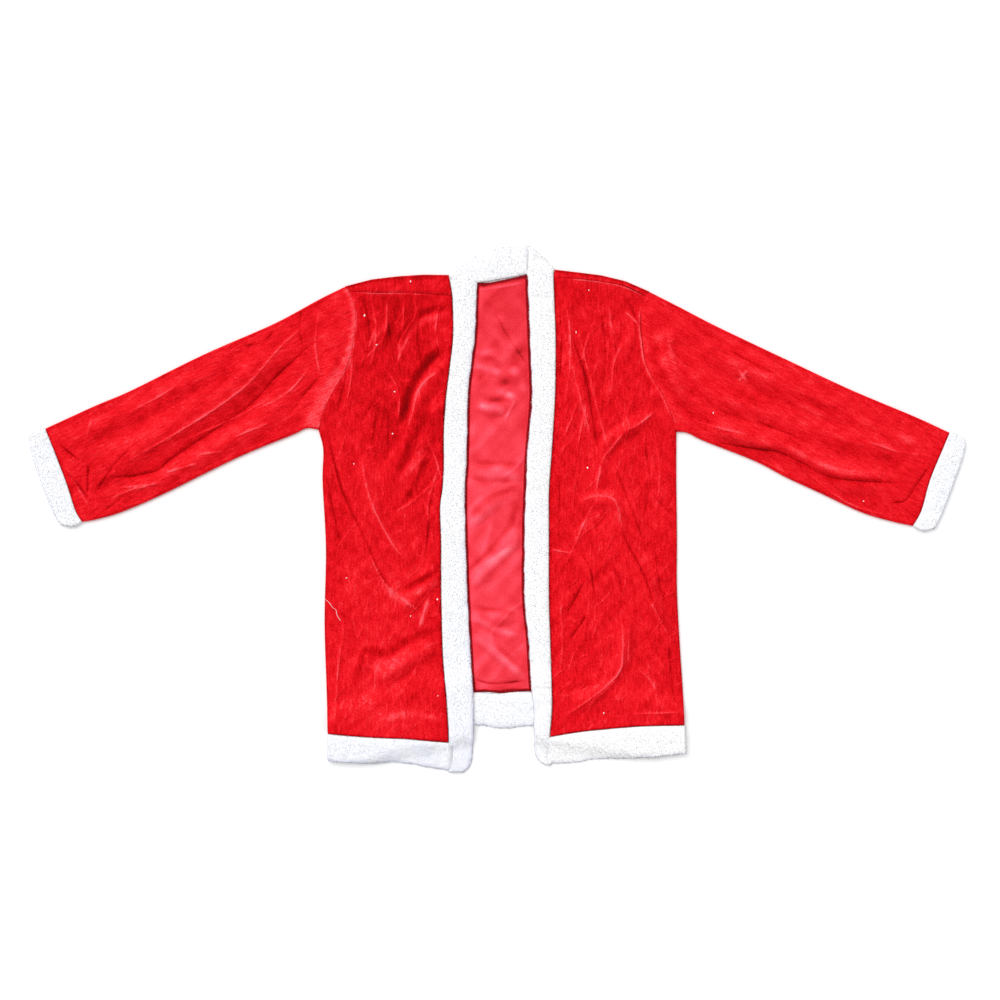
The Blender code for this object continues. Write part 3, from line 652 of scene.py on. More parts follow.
# Front panels. Each is one piece of the same velour, pile side up, sewn to the back at the
# shoulder and the side. They lie loosely on the back, with soft folds and the thin hard
# creases of a garment that was folded small.
LOOSE_LIFT = 1.2
SIDE_REACH = 14.0
ARMHOLE_LIFT = 1.5
ARMHOLE_REACH = 34.0
NECK_SLOPE = (2.0, 16.0)
HEM_CLIMB = (12.0, 46.0)
HEM_SLOPE = (10.0, 34.0)
FRONT_COLUMNS = 72
# Painted highlight along the armhole and shoulder seams, as a crease without rise
SEAM_HIGHLIGHT = (0.0, 4, 0.7)
SEAM_HIGHLIGHT_INSET = 1.6
SHADE_AT_BAND_SEAM = (0.5, 3.5, 0.5)
SHADE_AT_SIDE = (0.35, 3.0, 0.0)
HEM_SEAM_RIGHT = ((-254, -337), (-193, -342), (-142, -344), (-107, -347), (-73, -350))
HEM_SEAM_LEFT = ((79, -341), (121, -334), (167, -329), (221, -325), (280, -324))
CREASES_FRONT_RIGHT = (
    (0.0, 90, -0.26, (-150, 380), (-150, 300), (-140, 140), (-130, 60)),
    (0.0, 95, 0.2, (-170, -60), (-170, -160), (-165, -340), (-165, -420)),
    (4.5, 19, 0.1, (-72, 214), (-98, 190), (-112, 168), (-120, 146), (-129, 116), (-146, 76),
     (-169, 31)),
    (4.0, 18, 0.1, (-80, 168), (-102, 122), (-120, 82)),
    (3.5, 16, 0.1, (-240, 104), (-236, 66), (-222, 20), (-195, -44), (-170, -99), (-124, -146)),
    (3.0, 15, 0.1, (-205, 84), (-194, 28), (-177, -14), (-150, -62), (-124, -88)),
    (5.0, 20, 0.1, (-92, -88), (-118, -126), (-146, -150)),
    (5.0, 22, 0.1, (-90, -204), (-126, -222), (-160, -244), (-190, -250)),
    (3.0, 18, 0.1, (-176, -206), (-206, -236), (-224, -280)),
    (-1.5, 5, -0.8, (-254, 113), (-243, 68), (-230, 23), (-197, -46), (-172, -101), (-147, -133),
     (-122, -153)),
    (1.0, 5, 0.6, (-192, -70), (-173, -107), (-154, -127), (-134, -143), (-114, -156)),
    (0.8, 11, 0.35, (-176, -108), (-154, -130), (-128, -150)),
    (1.2, 5.5, 1.5, (-102, -134), (-107, -149), (-116, -178)),
    (1.2, 4.5, 0.5, (-203, 80), (-194, 28), (-179, -11), (-152, -59), (-127, -83)),
    (-1.0, 6, -0.4, (-256, 53), (-235, -56)),
    (-1.5, 10, -1.0, (-80, 242), (-103, 220), (-119, 198), (-130, 176), (-137, 154), (-143, 126)),
    (0.5, 8, 0.2, (-80, 219), (-101, 197), (-116, 176), (-125, 154), (-131, 128)),
    (0.6, 9, 0.4, (-69, 289), (-92, 287), (-114, 278), (-131, 257), (-144, 233)),
    (-0.6, 8, -0.5, (-69, 299), (-88, 299), (-122, 288), (-141, 262), (-150, 240)),
    (0.6, 8, 0.3, (-161, 308), (-164, 281), (-172, 266), (-187, 251), (-200, 236)),
    (-0.6, 8, -0.4, (-155, 306), (-157, 283), (-165, 249), (-180, 227), (-196, 205)),
    (0.6, 4, 0.4, (-131, 259), (-141, 239), (-150, 218)),
    (0.0, 7, -0.3, (-86, 166), (-115, 125), (-130, 88)),
    (-2.0, 8, -0.8, (-82, -84), (-96, -97), (-116, -110), (-140, -124)),
    (1.0, 8, 0.4, (-84, -106), (-104, -119), (-126, -130)),
    (-1.5, 11, -0.7, (-84, -178), (-116, -192), (-141, -202), (-166, -218), (-194, -214),
     (-203, -234), (-217, -268)),
    (0.8, 12, 0.1, (-86, -199), (-126, -222), (-161, -247), (-186, -262)),
    (0.8, 8, 0.25, (-176, -317), (-119, -308), (-81, -321)),
    (0.0, 28, -0.3, (-188, -272), (-158, -282), (-125, -272), (-100, -250)),
    (1.0, 4, 0.25, (-233, -197), (-239, -254), (-243, -325)),
    (-0.8, 5, -0.35, (-199, 316), (-191, 260), (-203, 205)),
    (0.8, 5, 0.3, (-188, 316), (-181, 260), (-191, 205)),
    (-0.8, 5, -0.3, (-164, 317), (-161, 268), (-152, 217)),
    (0.8, 5, 0.3, (-139, 317), (-142, 260), (-149, 211)),
    (-0.8, 5, -0.35, (-110, 313), (-119, 259), (-110, 205)),
    (0.8, 4, 0.3, (-86, 310), (-92, 265), (-85, 235)),
    (-0.8, 5, -0.3, (-235, 268), (-227, 205), (-239, 145)),
    (0.8, 5, 0.3, (-223, 268), (-217, 211), (-226, 151)),
    (-0.8, 5, -0.3, (-175, 155), (-185, 109), (-179, 70)),
    (0.8, 4, 0.3, (-89, 58), (-104, 5), (-98, -41)),
    (-0.8, 4, -0.55, (-94, 34), (-101, -2), (-103, -32), (-108, -75)),
    (-1.0, 8, -0.6, (-129, 110), (-137, 80), (-148, 52)),
    (-1.0, 8, -0.6, (-104, 78), (-120, 40), (-138, 8)),
    (1.0, 11, 0.4, (-108, 98), (-126, 64), (-150, 32)),
    (1.0, 5, 0.6, (-84, 207), (-105, 193), (-118, 176), (-123, 158), (-128, 138), (-134, 118)),
    (0.6, 4, 0.4, (-165, 317), (-165, 283), (-172, 253), (-202, 219)),
    (0.6, 4, 0.4, (-124, 317), (-122, 290), (-142, 257), (-154, 223)),
    (0.6, 4, 0.4, (-180, 279), (-195, 234), (-206, 214)),
    (0.6, 4, 0.4, (-165, 208), (-150, 182), (-146, 155), (-150, 128)),
    (0.8, 4, 0.5, (-105, 107), (-90, 69), (-82, 39)),
    (-0.6, 4, -0.4, (-172, 163), (-163, 133), (-163, 77)),
    (0.6, 4, 0.2, (-93, 40), (-124, 12), (-152, -6)),
)
CREASES_FRONT_LEFT = (
    (0.0, 110, 0.07, (180, 120), (180, 0), (190, -300), (190, -420)),
    (3.0, 14, 0.1, (104, 272), (118, 212), (130, 152), (146, 92)),
    (4.0, 16, 0.1, (236, 150), (214, 130), (191, 116), (166, 98), (155, 68), (146, 28)),
    (5.0, 17, 0.1, (120, 6), (148, 12), (174, 6), (190, -46), (216, -98), (252, -180)),
    (3.0, 14, 0.1, (178, 64), (198, 12), (220, -44)),
    (3.0, 15, 0.1, (118, -70), (138, -92), (142, -134)),
    (5.0, 18, 0.1, (106, -304), (150, -270), (180, -240), (190, -205), (190, -160)),
    (3.0, 14, 0.1, (222, 290), (202, 262), (186, 214)),
    (-1.0, 4, -0.6, (112, 265), (120, 238), (135, 189), (145, 125), (153, 84)),
    (0.8, 5, 0.3, (122, 266), (143, 178), (167, 88)),
    (0.8, 5, 0.25, (101, 259), (124, 169), (148, 79)),
    (1.0, 4.5, 0.5, (239, 148), (214, 127), (191, 115)),
    (1.0, 4.5, 0.5, (191, 115), (172, 91), (158, 71), (148, 25)),
    (1.2, 5, 0.4, (122, 10), (148, 18), (176, 10), (187, -38)),
    (-1.0, 4.5, -0.6, (182, -20), (193, -48), (215, -88), (226, -116), (239, -152), (266, -200)),
    (-1.0, 4.5, -0.5, (178, 61), (199, 7), (219, -46)),
    (-1.0, 3.5, -0.65, (128, -68), (140, -91), (146, -130)),
    (-1.0, 3.5, -0.6, (131, -108), (118, -134), (104, -158)),
    (-1.0, 3.5, -0.55, (134, -161), (122, -178), (111, -194)),
    (0.8, 4, 0.4, (146, 8), (134, -14), (115, -56)),
    (0.6, 4, 0.35, (149, -173), (143, -196)),
    (0.6, 4, 0.35, (116, -215), (106, -244)),
    (1.2, 4.5, 0.55, (101, -311), (152, -275), (183, -245), (188, -214), (188, -169)),
    (-1.5, 8, -0.4, (110, -272), (139, -262), (163, -251)),
    (0.8, 4, 0.35, (228, -137), (257, -190)),
    (1.0, 4.5, 0.35, (203, -308), (277, -305)),
    (0.8, 3.5, 0.65, (80, -62), (109, -67)),
    (-0.8, 5, -0.35, (236, 16), (260, -10)),
    (-1.0, 5.5, -0.4, (191, 320), (203, 298), (214, 271)),
    (0.8, 4.5, 0.4, (208, -236), (236, -265), (239, -299)),
    (-0.8, 4.5, -0.3, (257, -205), (265, -289)),
    (0.6, 4, 0.3, (197, -179), (197, -233)),
    (-0.8, 4.5, -0.2, (154, 313), (163, 238), (158, 175)),
    (0.8, 5, 0.2, (166, 313), (175, 238), (170, 169)),
    (-0.8, 5, -0.2, (94, 304), (97, 238), (91, 175)),
    (-0.6, 4, -0.25, (92, 58), (94, 13), (92, -28)),
    (-0.8, 5, -0.2, (221, 103), (229, 43), (220, -17)),
    (0.8, 5, 0.2, (236, 118), (244, 50), (236, -17)),
    (-0.8, 5, -0.2, (172, -77), (187, -122), (184, -158)),
    (0.8, 4.5, 0.2, (94, -131), (98, -197), (94, -251)),
    (-0.8, 5, -0.3, (236, -55), (244, -115), (259, -152)),
    (0.6, 4, 0.4, (101, 317), (109, 272), (109, 215), (101, 155)),
    (1.0, 4, 0.6, (191, 294), (202, 284), (210, 275)),
    (0.6, 4, 0.4, (120, 159), (110, 130), (98, 103)),
    (0.6, 4, 0.35, (139, 263), (130, 236), (127, 216)),
    (0.6, 4, 0.35, (186, 245), (176, 220), (172, 196)),
    (0.6, 4, 0.35, (135, 158), (126, 120), (120, 84)),
)


def resting_height(plan):
    """Height on which the upper layer lies: the back, then its hem band, then the floor."""
    x, y = plan[..., 0], plan[..., 1]
    seam, edge = back_hem_seam(x), back_hem_edge(x)
    on_band = 1.0 - smooth(*HEM_CLIMB, y - seam)
    on_back = 1.0 - smooth(*NECK_SLOPE, y - NECK_EDGE_HEIGHT)
    upper = (VELOUR + LAYER_GAP) * on_back + (PLUSH - VELOUR) * on_band
    lower = (PLUSH + LAYER_GAP) * (1.0 - smooth(*HEM_SLOPE, edge - y))
    return np.where(y > (seam + edge) / 2, upper, lower)


def front_panel(node, shoulder, outer, seam_x, hem, creases, side):
    """Front panel from the shoulder seam to the hem band, lying on the back."""
    shares = np.linspace(0, 1, FRONT_COLUMNS)
    tops = [outer[1, 1], *shoulder.seam[1:]]
    plan = panel_plan(outer[1:], tops, shoulder, seam_x, reading(hem, 0, 1), shares)
    to_top = away_from(plan, outer[1:ARMHOLE_ROWS + 1:4], plan[0, ::6])
    to_side = away_from(plan, outer[ARMHOLE_ROWS::6])
    to_band = away_from(plan, plan[::6, -1], plan[-1, ::6])
    armhole_seam = outer[2:ARMHOLE_ROWS:12] - (side * SEAM_HIGHLIGHT_INSET, 0.0)
    shoulder_seam = plan[0, ::12] - (0.0, SEAM_HIGHLIGHT_INSET)
    seen = crease(plan, (
        *creases, (*SEAM_HIGHLIGHT, *armhole_seam), (*SEAM_HIGHLIGHT, *shoulder_seam)))
    near_top = 1.0 - smooth(0, ARMHOLE_REACH, to_top)
    off_side = smooth(0, SIDE_REACH, to_side)
    rumple = 0.5 * swell(plan, 60, 11 + side) + 0.25 * swell(plan, 24, 21 + side)
    lift = (LOOSE_LIFT + seen.rise + rumple) * off_side + ARMHOLE_LIFT * near_top
    points = raised(plan, resting_height(plan) + VELOUR + np.maximum(lift, 0.0))
    # Painted shade and highlight from the creases and slopes, and painted shade by the band seam
    # and the side, with a little random unevenness
    tone = seen.tone + lit_tone(points) + 0.08 * swell(plan, 30, 31 + side)
    tone -= edge_shade(to_band, *SHADE_AT_BAND_SEAM) + edge_shade(to_side, *SHADE_AT_SIDE)
    kept = {"nap": tone, "fold": seen.fold, "sharpness": seen.sharpness}
    mesh = cloth_mesh(node + "_cloth", points, kept, side)
    panel = sew(mesh, [body_velour], node)
    thicken(panel, VELOUR)
    return panel, plan


front_right, plan_right = front_panel(
    "front_right", SHOULDER_RIGHT, outer_right, seam_right, HEM_SEAM_RIGHT,
    CREASES_FRONT_RIGHT, -1)
front_left, plan_left = front_panel(
    "front_left", SHOULDER_LEFT, outer_left, seam_left, HEM_SEAM_LEFT, CREASES_FRONT_LEFT, 1)

# Sleeves. Each is one piece of velour, sewn into a tube along the underarm and set into the
# armhole. They lie flat, with one long soft fold and pulled creases at the cuff, and the
# light strip at the armhole is the seam pressed towards the sleeve.
SLEEVE_TUCK = 0.6
SLEEVE_LIFT = 0.8
SLEEVE_EDGE_REACH = 26.0
SLEEVE_END_REACH = 22.0
PRESSED_WIDTH = 4.0
PRESSED_SPREAD = 13.0
SLEEVE_TONE = 0.09
SHADE_AT_CUFF = (0.5, 3.5, 0.5)
SHADE_AT_SLEEVE_EDGE = (0.4, 4.5, 1.5)
SLEEVE_ROWS = 176
SLEEVE_TOP_COLUMNS = 78
SLEEVE_UNDER_COLUMNS = 30
SLEEVE_TOP_RIGHT = (
    (-228, 333), (-268, 313), (-335, 277), (-442, 230), (-549, 177), (-603, 154), (-677, 120),
)
SLEEVE_UNDER_RIGHT = (
    (-268, 118), (-286, 120), (-308, 110), (-388, 77), (-496, 24), (-560, -4), (-600, -16),
    (-622, -20),
)
SLEEVE_TOP_LEFT = (
    (228, 325), (269, 304), (329, 273), (434, 223), (530, 178), (625, 138), (677, 114),
)
SLEEVE_UNDER_LEFT = (
    (268, 115), (285, 113), (310, 101), (386, 71), (434, 46), (482, 24), (544, -5),
    (590, -19), (622, -26),
)
CUFF_SEAM_RIGHT = ((-677, 120), (-666, 93), (-645, 38), (-632, -2), (-622, -20))
CUFF_SEAM_LEFT = ((677, 114), (670, 97), (648, 44), (635, -2), (622, -26))
CREASES_SLEEVE_RIGHT = (
    (6.5, 30, 0.1, (-580, 62), (-540, 90), (-469, 134), (-415, 167), (-373, 202), (-325, 250)),
    (-2.5, 18, -0.1, (-594, 24), (-536, 50), (-496, 68), (-442, 102), (-388, 135), (-340, 184),
     (-290, 240)),
    (4.0, 24, 0.1, (-560, 20), (-490, 46), (-420, 88), (-350, 132), (-300, 190)),
    (3.0, 20, 0.1, (-640, 104), (-560, 140), (-480, 180), (-400, 216)),
    (3.0, 16, 0.1, (-262, 270), (-246, 220), (-262, 170)),
    (1.2, 5, 0.6, (-557, 68), (-488, 107), (-418, 151), (-368, 190), (-328, 237), (-282, 280)),
    (-2.0, 6.5, -0.75, (-598, 21), (-574, 45), (-544, 48), (-509, 57), (-484, 77), (-418, 121),
     (-368, 157), (-328, 200), (-272, 251)),
    (0.0, 30, -0.2, (-596, 115), (-446, 175), (-319, 260)),
    (1.0, 4, 0.5, (-448, 80), (-410, 85)),
    (1.0, 4, 0.5, (-496, 53), (-448, 67)),
    (1.0, 4, 0.5, (-576, 16), (-547, 28), (-517, 34)),
    (1.0, 4, 0.5, (-394, 106), (-340, 128)),
    (0.8, 4, 0.45, (-565, 31), (-527, 34), (-503, 38)),
    (0.8, 4, 0.4, (-353, 151), (-311, 175), (-278, 214)),
    (0.8, 4, 0.4, (-464, 103), (-392, 136), (-338, 166)),
    (-1.2, 6, -0.4, (-385, 242), (-352, 248), (-331, 268)),
    (1.0, 4.5, 0.4, (-554, 142), (-511, 164), (-478, 184)),
    (-1.6, 4, -1.0, (-653, 93), (-625, 70)),
    (-2.0, 4, -1.2, (-612, 66), (-613, 22)),
    (-1.6, 5, -0.9, (-643, 55), (-634, 43), (-611, 12)),
    (1.2, 5, 0.55, (-647, 67), (-610, 2)),
    (-1.0, 5, -0.45, (-546, 91), (-573, 65), (-602, 22)),
    (-0.8, 4, -0.4, (-563, 14), (-592, -5)),
    (0.6, 4, 0.3, (-606, 136), (-613, 110)),
    (-0.8, 5, -0.35, (-289, 313), (-296, 268), (-287, 235)),
    (0.8, 5, 0.35, (-266, 295), (-272, 245), (-263, 193)),
    (-1.0, 6, -0.35, (-259, 205), (-287, 172), (-311, 140)),
)
CREASES_SLEEVE_LEFT = (
    (7.0, 28, 0.1, (300, 130), (360, 106), (420, 92), (470, 66), (530, 44), (590, 36)),
    (-2.5, 16, -0.1, (320, 96), (392, 86), (440, 72), (492, 46), (540, 38), (600, 34)),
    (5.0, 26, 0.1, (320, 238), (380, 206), (440, 176), (520, 148)),
    (4.0, 24, 0.1, (290, 196), (350, 160), (420, 140), (500, 108), (600, 84)),
    (4.0, 20, 0.1, (262, 270), (252, 226), (276, 170)),
    (-1.5, 5.5, -0.5, (343, 240), (380, 217), (416, 200)),
    (1.0, 9, 0.25, (337, 229), (376, 206), (416, 188)),
    (-1.2, 9, -0.35, (436, 174), (463, 160), (515, 142)),
    (1.0, 9, 0.25, (433, 163), (463, 149), (517, 131)),
    (-2.0, 6, -0.7, (326, 99), (389, 88), (419, 84), (455, 68), (492, 48), (536, 41), (602, 38)),
    (1.2, 8, 0.35, (326, 109), (389, 98), (424, 94), (458, 79), (496, 59), (538, 52), (596, 49)),
    (-1.0, 4.5, -0.4, (386, 130), (436, 111), (452, 101)),
    (-1.5, 11, -0.4, (232, 252), (242, 207), (277, 151), (330, 118)),
    (1.0, 9, 0.25, (247, 235), (254, 209), (287, 157)),
    (0.8, 7, 0.3, (262, 273), (258, 244), (268, 211), (286, 180)),
    (-1.2, 4.5, -0.6, (648, 64), (625, 31), (611, 11), (585, 8)),
    (1.0, 5, 0.35, (463, 53), (520, 10), (578, -10)),
    (0.8, 8, 0.2, (304, 274), (364, 244), (430, 208)),
    (0.8, 9, 0.3, (529, 140), (589, 112), (641, 94)),
    (-0.8, 12, -0.25, (304, 193), (367, 166), (427, 142)),
    (0.8, 4, 0.35, (544, 103), (598, 85), (634, 79)),
    (-0.8, 9, -0.25, (499, 103), (553, 82), (604, 70)),
    (0.8, 4.5, 0.35, (289, 133), (337, 118), (382, 109)),
    (0.5, 4, 0.9, (360, 207), (373, 188)),
    (0.5, 4, 0.9, (374, 206), (362, 190)),
)


def between(start, end, top, under, along, across):
    """Plan points of a flat tube at shares along and across it, from its four outlines."""
    a, c = along[..., None], across[..., None]
    first, last = stations(start, across), stations(end, across)
    upper, lower = stations(top, along), stations(under, along)
    corners = (start[0] * (1 - c) + start[-1] * c) * (1 - a)
    corners += (end[0] * (1 - c) + end[-1] * c) * a
    return first * (1 - a) + last * a + upper * (1 - c) + lower * c - corners


def flat_tube(outlines, radii, lift, top_columns, under_columns):
    """Loops round a flat tube: over the top, round one edge, below, round the other."""
    start, end, top, under = outlines
    rows = len(radii)
    down = np.linspace(0, 1, rows)[:, None]
    sides = between(*outlines, np.repeat(down, 2, 1), np.tile([0.0, 1.0], (rows, 1)))
    width = np.linalg.norm(sides[:, 1] - sides[:, 0], axis=1)[:, None]
    rim = radii[:, None] / width
    over = rim + (1 - 2 * rim) * np.linspace(0, 1, top_columns)
    below = 1 - rim - (1 - 2 * rim) * np.linspace(0, 1, under_columns)
    top_plan = between(*outlines, np.broadcast_to(down, over.shape), over)
    below_plan = between(*outlines, np.broadcast_to(down, below.shape), below)
    loops = [raised(top_plan, 2 * radii[:, None] + lift(top_plan))]
    turns = np.radians((72, 54, 36, 18, 0, -18, -36, -54, -72))
    for centre, edge, bend in (
            (top_plan[:, -1], sides[:, 1], turns), (top_plan[:, 0], sides[:, 0], turns[::-1])):
        outward = (edge - centre) / np.linalg.norm(edge - centre, axis=1, keepdims=True)
        spots = centre[:, None] + outward[:, None] * (radii[:, None] * np.cos(bend))[..., None]
        loops.append(raised(spots, radii[:, None] * (1 + np.sin(bend))))
    loops.insert(2, raised(below_plan, 0.0))
    return np.concatenate(loops, axis=1), top_plan


def sleeve(node, armhole, top, under, cuff_seam, creases, pressed, finish, side):
    """Sleeve laid flat: a tube of velour from the armhole to the cuff seam."""
    rest = SHOULDER_SHARE + (1 - SHOULDER_SHARE) * np.linspace(0, 1, 11)
    start = stations(armhole, [0.0, *rest]) - np.array([side * SLEEVE_TUCK, 0.0])
    end = np.array(cuff_seam, float)
    top = np.array([start[0], *top[1:]])
    under = np.array([start[-1], *under[1:]])
    edges = [curve(line, 6) for line in (top, under)]
    ends = [curve(line, 4) for line in (start, end)]

    def lift(plan):
        rise = crease(plan, creases).rise
        inside = smooth(0, SLEEVE_EDGE_REACH, away_from(plan, *edges))
        inside *= smooth(0, SLEEVE_END_REACH, away_from(plan, *ends))
        lowest = LAYER_GAP + 2 * VELOUR - 2 * FOLD_RADIUS
        rumple = 0.6 * swell(plan, 70, 41 + side) + 0.25 * swell(plan, 26, 51 + side)
        return np.maximum((SLEEVE_LIFT + rise + rumple) * inside, lowest)

    radii = np.full(SLEEVE_ROWS, FOLD_RADIUS)
    loops, top_plan = flat_tube(
        (start, end, top, under), radii, lift, SLEEVE_TOP_COLUMNS, SLEEVE_UNDER_COLUMNS)
    seen = crease(top_plan, creases)
    to_armhole, down_armhole = to_path(top_plan, ends[0])[:2]
    over = np.s_[:, :SLEEVE_TOP_COLUMNS]
    tone = SLEEVE_TONE + 0.12 * swell(loops[..., :2], 34, 61 + side)
    # Over the top: painted shade and highlight from the creases and slopes, and painted shade at
    # the cuff seam and along the edges
    tone[over] += 0.8 * seen.tone + 0.7 * lit_tone(loops[over])
    tone[over] -= edge_shade(away_from(top_plan, ends[1]), *SHADE_AT_CUFF)
    tone[over] -= edge_shade(away_from(top_plan, *edges), *SHADE_AT_SLEEVE_EDGE)
    strip = PRESSED_WIDTH + PRESSED_SPREAD * down_armhole ** 2
    tone[over] += pressed * smooth(1.7 * strip + 1.5, 0.8 * strip, to_armhole)
    tone[over] += 0.25 * pressed * smooth(50, 10, to_armhole)
    kept = {"nap": tone, "fold": np.full(tone.shape, NO_FOLD), "sharpness": np.zeros(tone.shape)}
    kept["fold"][over], kept["sharpness"][over] = seen.fold, seen.sharpness
    mesh = cloth_mesh(node + "_cloth", loops, kept, side, closed=True)
    tube = sew(mesh, [finish], node)
    thicken(tube, VELOUR)
    return tube


velour_right = velour("sleeve_velour_right", math.radians(-64), 0.6)
velour_left = velour("sleeve_velour_left", math.radians(64), 0.5)
sleeve_right = sleeve(
    "sleeve_right", ARMHOLE_RIGHT, SLEEVE_TOP_RIGHT, SLEEVE_UNDER_RIGHT, CUFF_SEAM_RIGHT,
    CREASES_SLEEVE_RIGHT, 0.42, velour_right, -1)
sleeve_left = sleeve(
    "sleeve_left", ARMHOLE_LEFT, SLEEVE_TOP_LEFT, SLEEVE_UNDER_LEFT, CUFF_SEAM_LEFT,
    CREASES_SLEEVE_LEFT, 0.1, velour_left, 1)

# Cuffs. Each is a band of white long-pile plush, doubled to a soft tube and sewn round the
# end of the sleeve. The base here is the cloth and the dense foot of its pile, and the
# loose tips of the pile stand on it.
CUFF_RADIUS = 4.0
CUFF_WALL = 3.0
CUFF_GAP = 0.4
CUFF_INSET = 1.4
CUFF_HALF_LENGTH = 70.0
CUFF_ROWS = 16
CUFF_TOP_COLUMNS = 56
CUFF_UNDER_COLUMNS = 30
TUFTS_PER_M2 = 230000.0
TUFT_LENGTH = 2.3
TUFT_RADIUS = 0.5
TUFT_TURN = (0.8, 0.8, math.pi)
CUFF_TOP_RIGHT = ((-677, 120), (-688, 117), (-697, 113), (-703.5, 106))
CUFF_TOP_LEFT = ((677, 114), (688, 111), (697, 107), (703.5, 100))
CUFF_UNDER_RIGHT = ((-622, -20), (-630, -25), (-641, -27), (-657, -24))
CUFF_UNDER_LEFT = ((622, -26), (630, -31), (641, -33.5), (656, -30))
CUFF_EDGE_RIGHT = ((-703.5, 106), (-698, 78), (-688, 48), (-677, 18), (-667, -6), (-657, -24))
CUFF_EDGE_LEFT = ((703.5, 100), (698, 76), (689, 50), (678, 20), (667, -8), (656, -30))


def plush(name, tips=False):
    """White plush with a faint cool shade, matt, whose tips catch light as one soft face."""
    cloth = Finish(name, {
        "Sheen Weight": 0.3,
        "Sheen Roughness": 0.6,
        "Sheen Tint": (0.96, 0.96, 1.0, 1.0),
        "Specular IOR Level": 0.05,
    })
    clumps = cloth.noise(cloth.place, 230.0, 3.0, distortion=0.5) - 0.5
    patches = cloth.noise(cloth.place, 26.0, 2.0, distortion=0.4) - 0.5
    shade = cloth.attribute("shade") + clumps * 0.3 + patches * 0.6
    whites = (
        (0.0, (0.975, 0.975, 0.985)),
        (0.5, (0.920, 0.928, 0.985)),
        (1.0, (0.815, 0.835, 0.970)),
    )
    cloth.colour(whites, shade)
    cloth.vary("Roughness", 0.95 - clumps * 0.1)
    relief = cloth.bump(clumps, 0.0006, 0.35)
    if tips:
        stem = cloth.node("ShaderNodeAttribute", {"attribute_name": "stem"}, {}, "Vector")
        relief = cloth.node("ShaderNodeMix", {"data_type": "VECTOR"}, {
            0: 0.95, 4: relief, 5: stem}, 1)
    cloth.vary("Normal", relief)
    return cloth.material


def pile_tree(name):
    """Tufts of pile that stand all over the upper faces of a plush base."""
    tree = bpy.data.node_groups.new(name, "GeometryNodeTree")
    tree.interface.new_socket("Base", in_out="INPUT", socket_type="NodeSocketGeometry")
    for socket, kind in (
            ("Tufts per m2", "NodeSocketFloat"), ("Length", "NodeSocketFloat"),
            ("Thickness", "NodeSocketFloat"), ("Turn", "NodeSocketVector"),
            ("Seed", "NodeSocketInt"), ("Plush", "NodeSocketMaterial")):
        tree.interface.new_socket(socket, in_out="INPUT", socket_type=kind)
    tree.interface.new_socket("Pile", in_out="OUTPUT", socket_type="NodeSocketGeometry")

    def node(kind, settings, values):
        new = tree.nodes.new(kind)
        for setting, value in settings.items():
            setattr(new, setting, value)
        for socket, value in values.items():
            if isinstance(value, bpy.types.NodeSocket):
                tree.links.new(value, new.inputs[socket])
            else:
                new.inputs[socket].default_value = value
        return new.outputs

    given = node("NodeGroupInput", {}, {})
    slope = node("ShaderNodeSeparateXYZ", {}, {0: node("GeometryNodeInputNormal", {}, {})[0]})
    upper = node("FunctionNodeCompare", {"operation": "GREATER_THAN"}, {0: slope["Z"], 1: -0.15})
    spots = node("GeometryNodeDistributePointsOnFaces", {}, {
        "Mesh": given["Base"], "Selection": upper[0],
        "Density": given["Tufts per m2"], "Seed": given["Seed"]})
    tuft = node("GeometryNodeMeshCone", {"fill_type": "NONE"}, {
        "Vertices": 3, "Side Segments": 2, "Radius Top": 0.0,
        "Radius Bottom": given["Thickness"], "Depth": given["Length"]})
    other_way = node("ShaderNodeVectorMath", {"operation": "MULTIPLY"}, {
        0: given["Turn"], 1: (-1.0, -1.0, -1.0)})
    turn = node("FunctionNodeRandomValue", {"data_type": "FLOAT_VECTOR"}, {
        0: other_way[0], 1: given["Turn"], "Seed": given["Seed"]})
    turned = node("FunctionNodeEulerToRotation", {}, {0: turn[0]})
    stance = node("FunctionNodeRotateRotation", {"rotation_space": "LOCAL"}, {
        0: spots["Rotation"], 1: turned[0]})
    size = node("FunctionNodeRandomValue", {"data_type": "FLOAT_VECTOR"}, {
        0: (0.7, 0.7, 0.55), 1: (1.2, 1.2, 1.1), "Seed": given["Seed"]})
    stems = node("GeometryNodeStoreNamedAttribute", {"data_type": "FLOAT_VECTOR"}, {
        "Geometry": spots["Points"], "Name": "stem", "Value": spots["Normal"]})
    tufts = node("GeometryNodeInstanceOnPoints", {}, {
        "Points": stems[0], "Instance": tuft["Mesh"], "Rotation": stance[0], "Scale": size[0]})
    real = node("GeometryNodeRealizeInstances", {}, {0: tufts[0]})
    place = node("ShaderNodeSeparateXYZ", {}, {0: node("GeometryNodeInputPosition", {}, {})[0]})
    above = node("ShaderNodeMath", {"operation": "MAXIMUM"}, {0: place["Z"], 1: 0.0})
    lifted = node("ShaderNodeCombineXYZ", {}, {
        "X": place["X"], "Y": place["Y"], "Z": above[0]})
    laid = node("GeometryNodeSetPosition", {}, {"Geometry": real[0], "Position": lifted[0]})
    soft = node("GeometryNodeSetShadeSmooth", {}, {0: laid[0]})
    white = node("GeometryNodeSetMaterial", {}, {"Geometry": soft[0], "Material": given["Plush"]})
    out = tree.nodes.new("NodeGroupOutput")
    tree.links.new(white[0], out.inputs["Pile"])
    return tree


pile = pile_tree("plush_pile")
trim_plush = plush("trim_plush")
plush_tips = plush("plush_tips", tips=True)


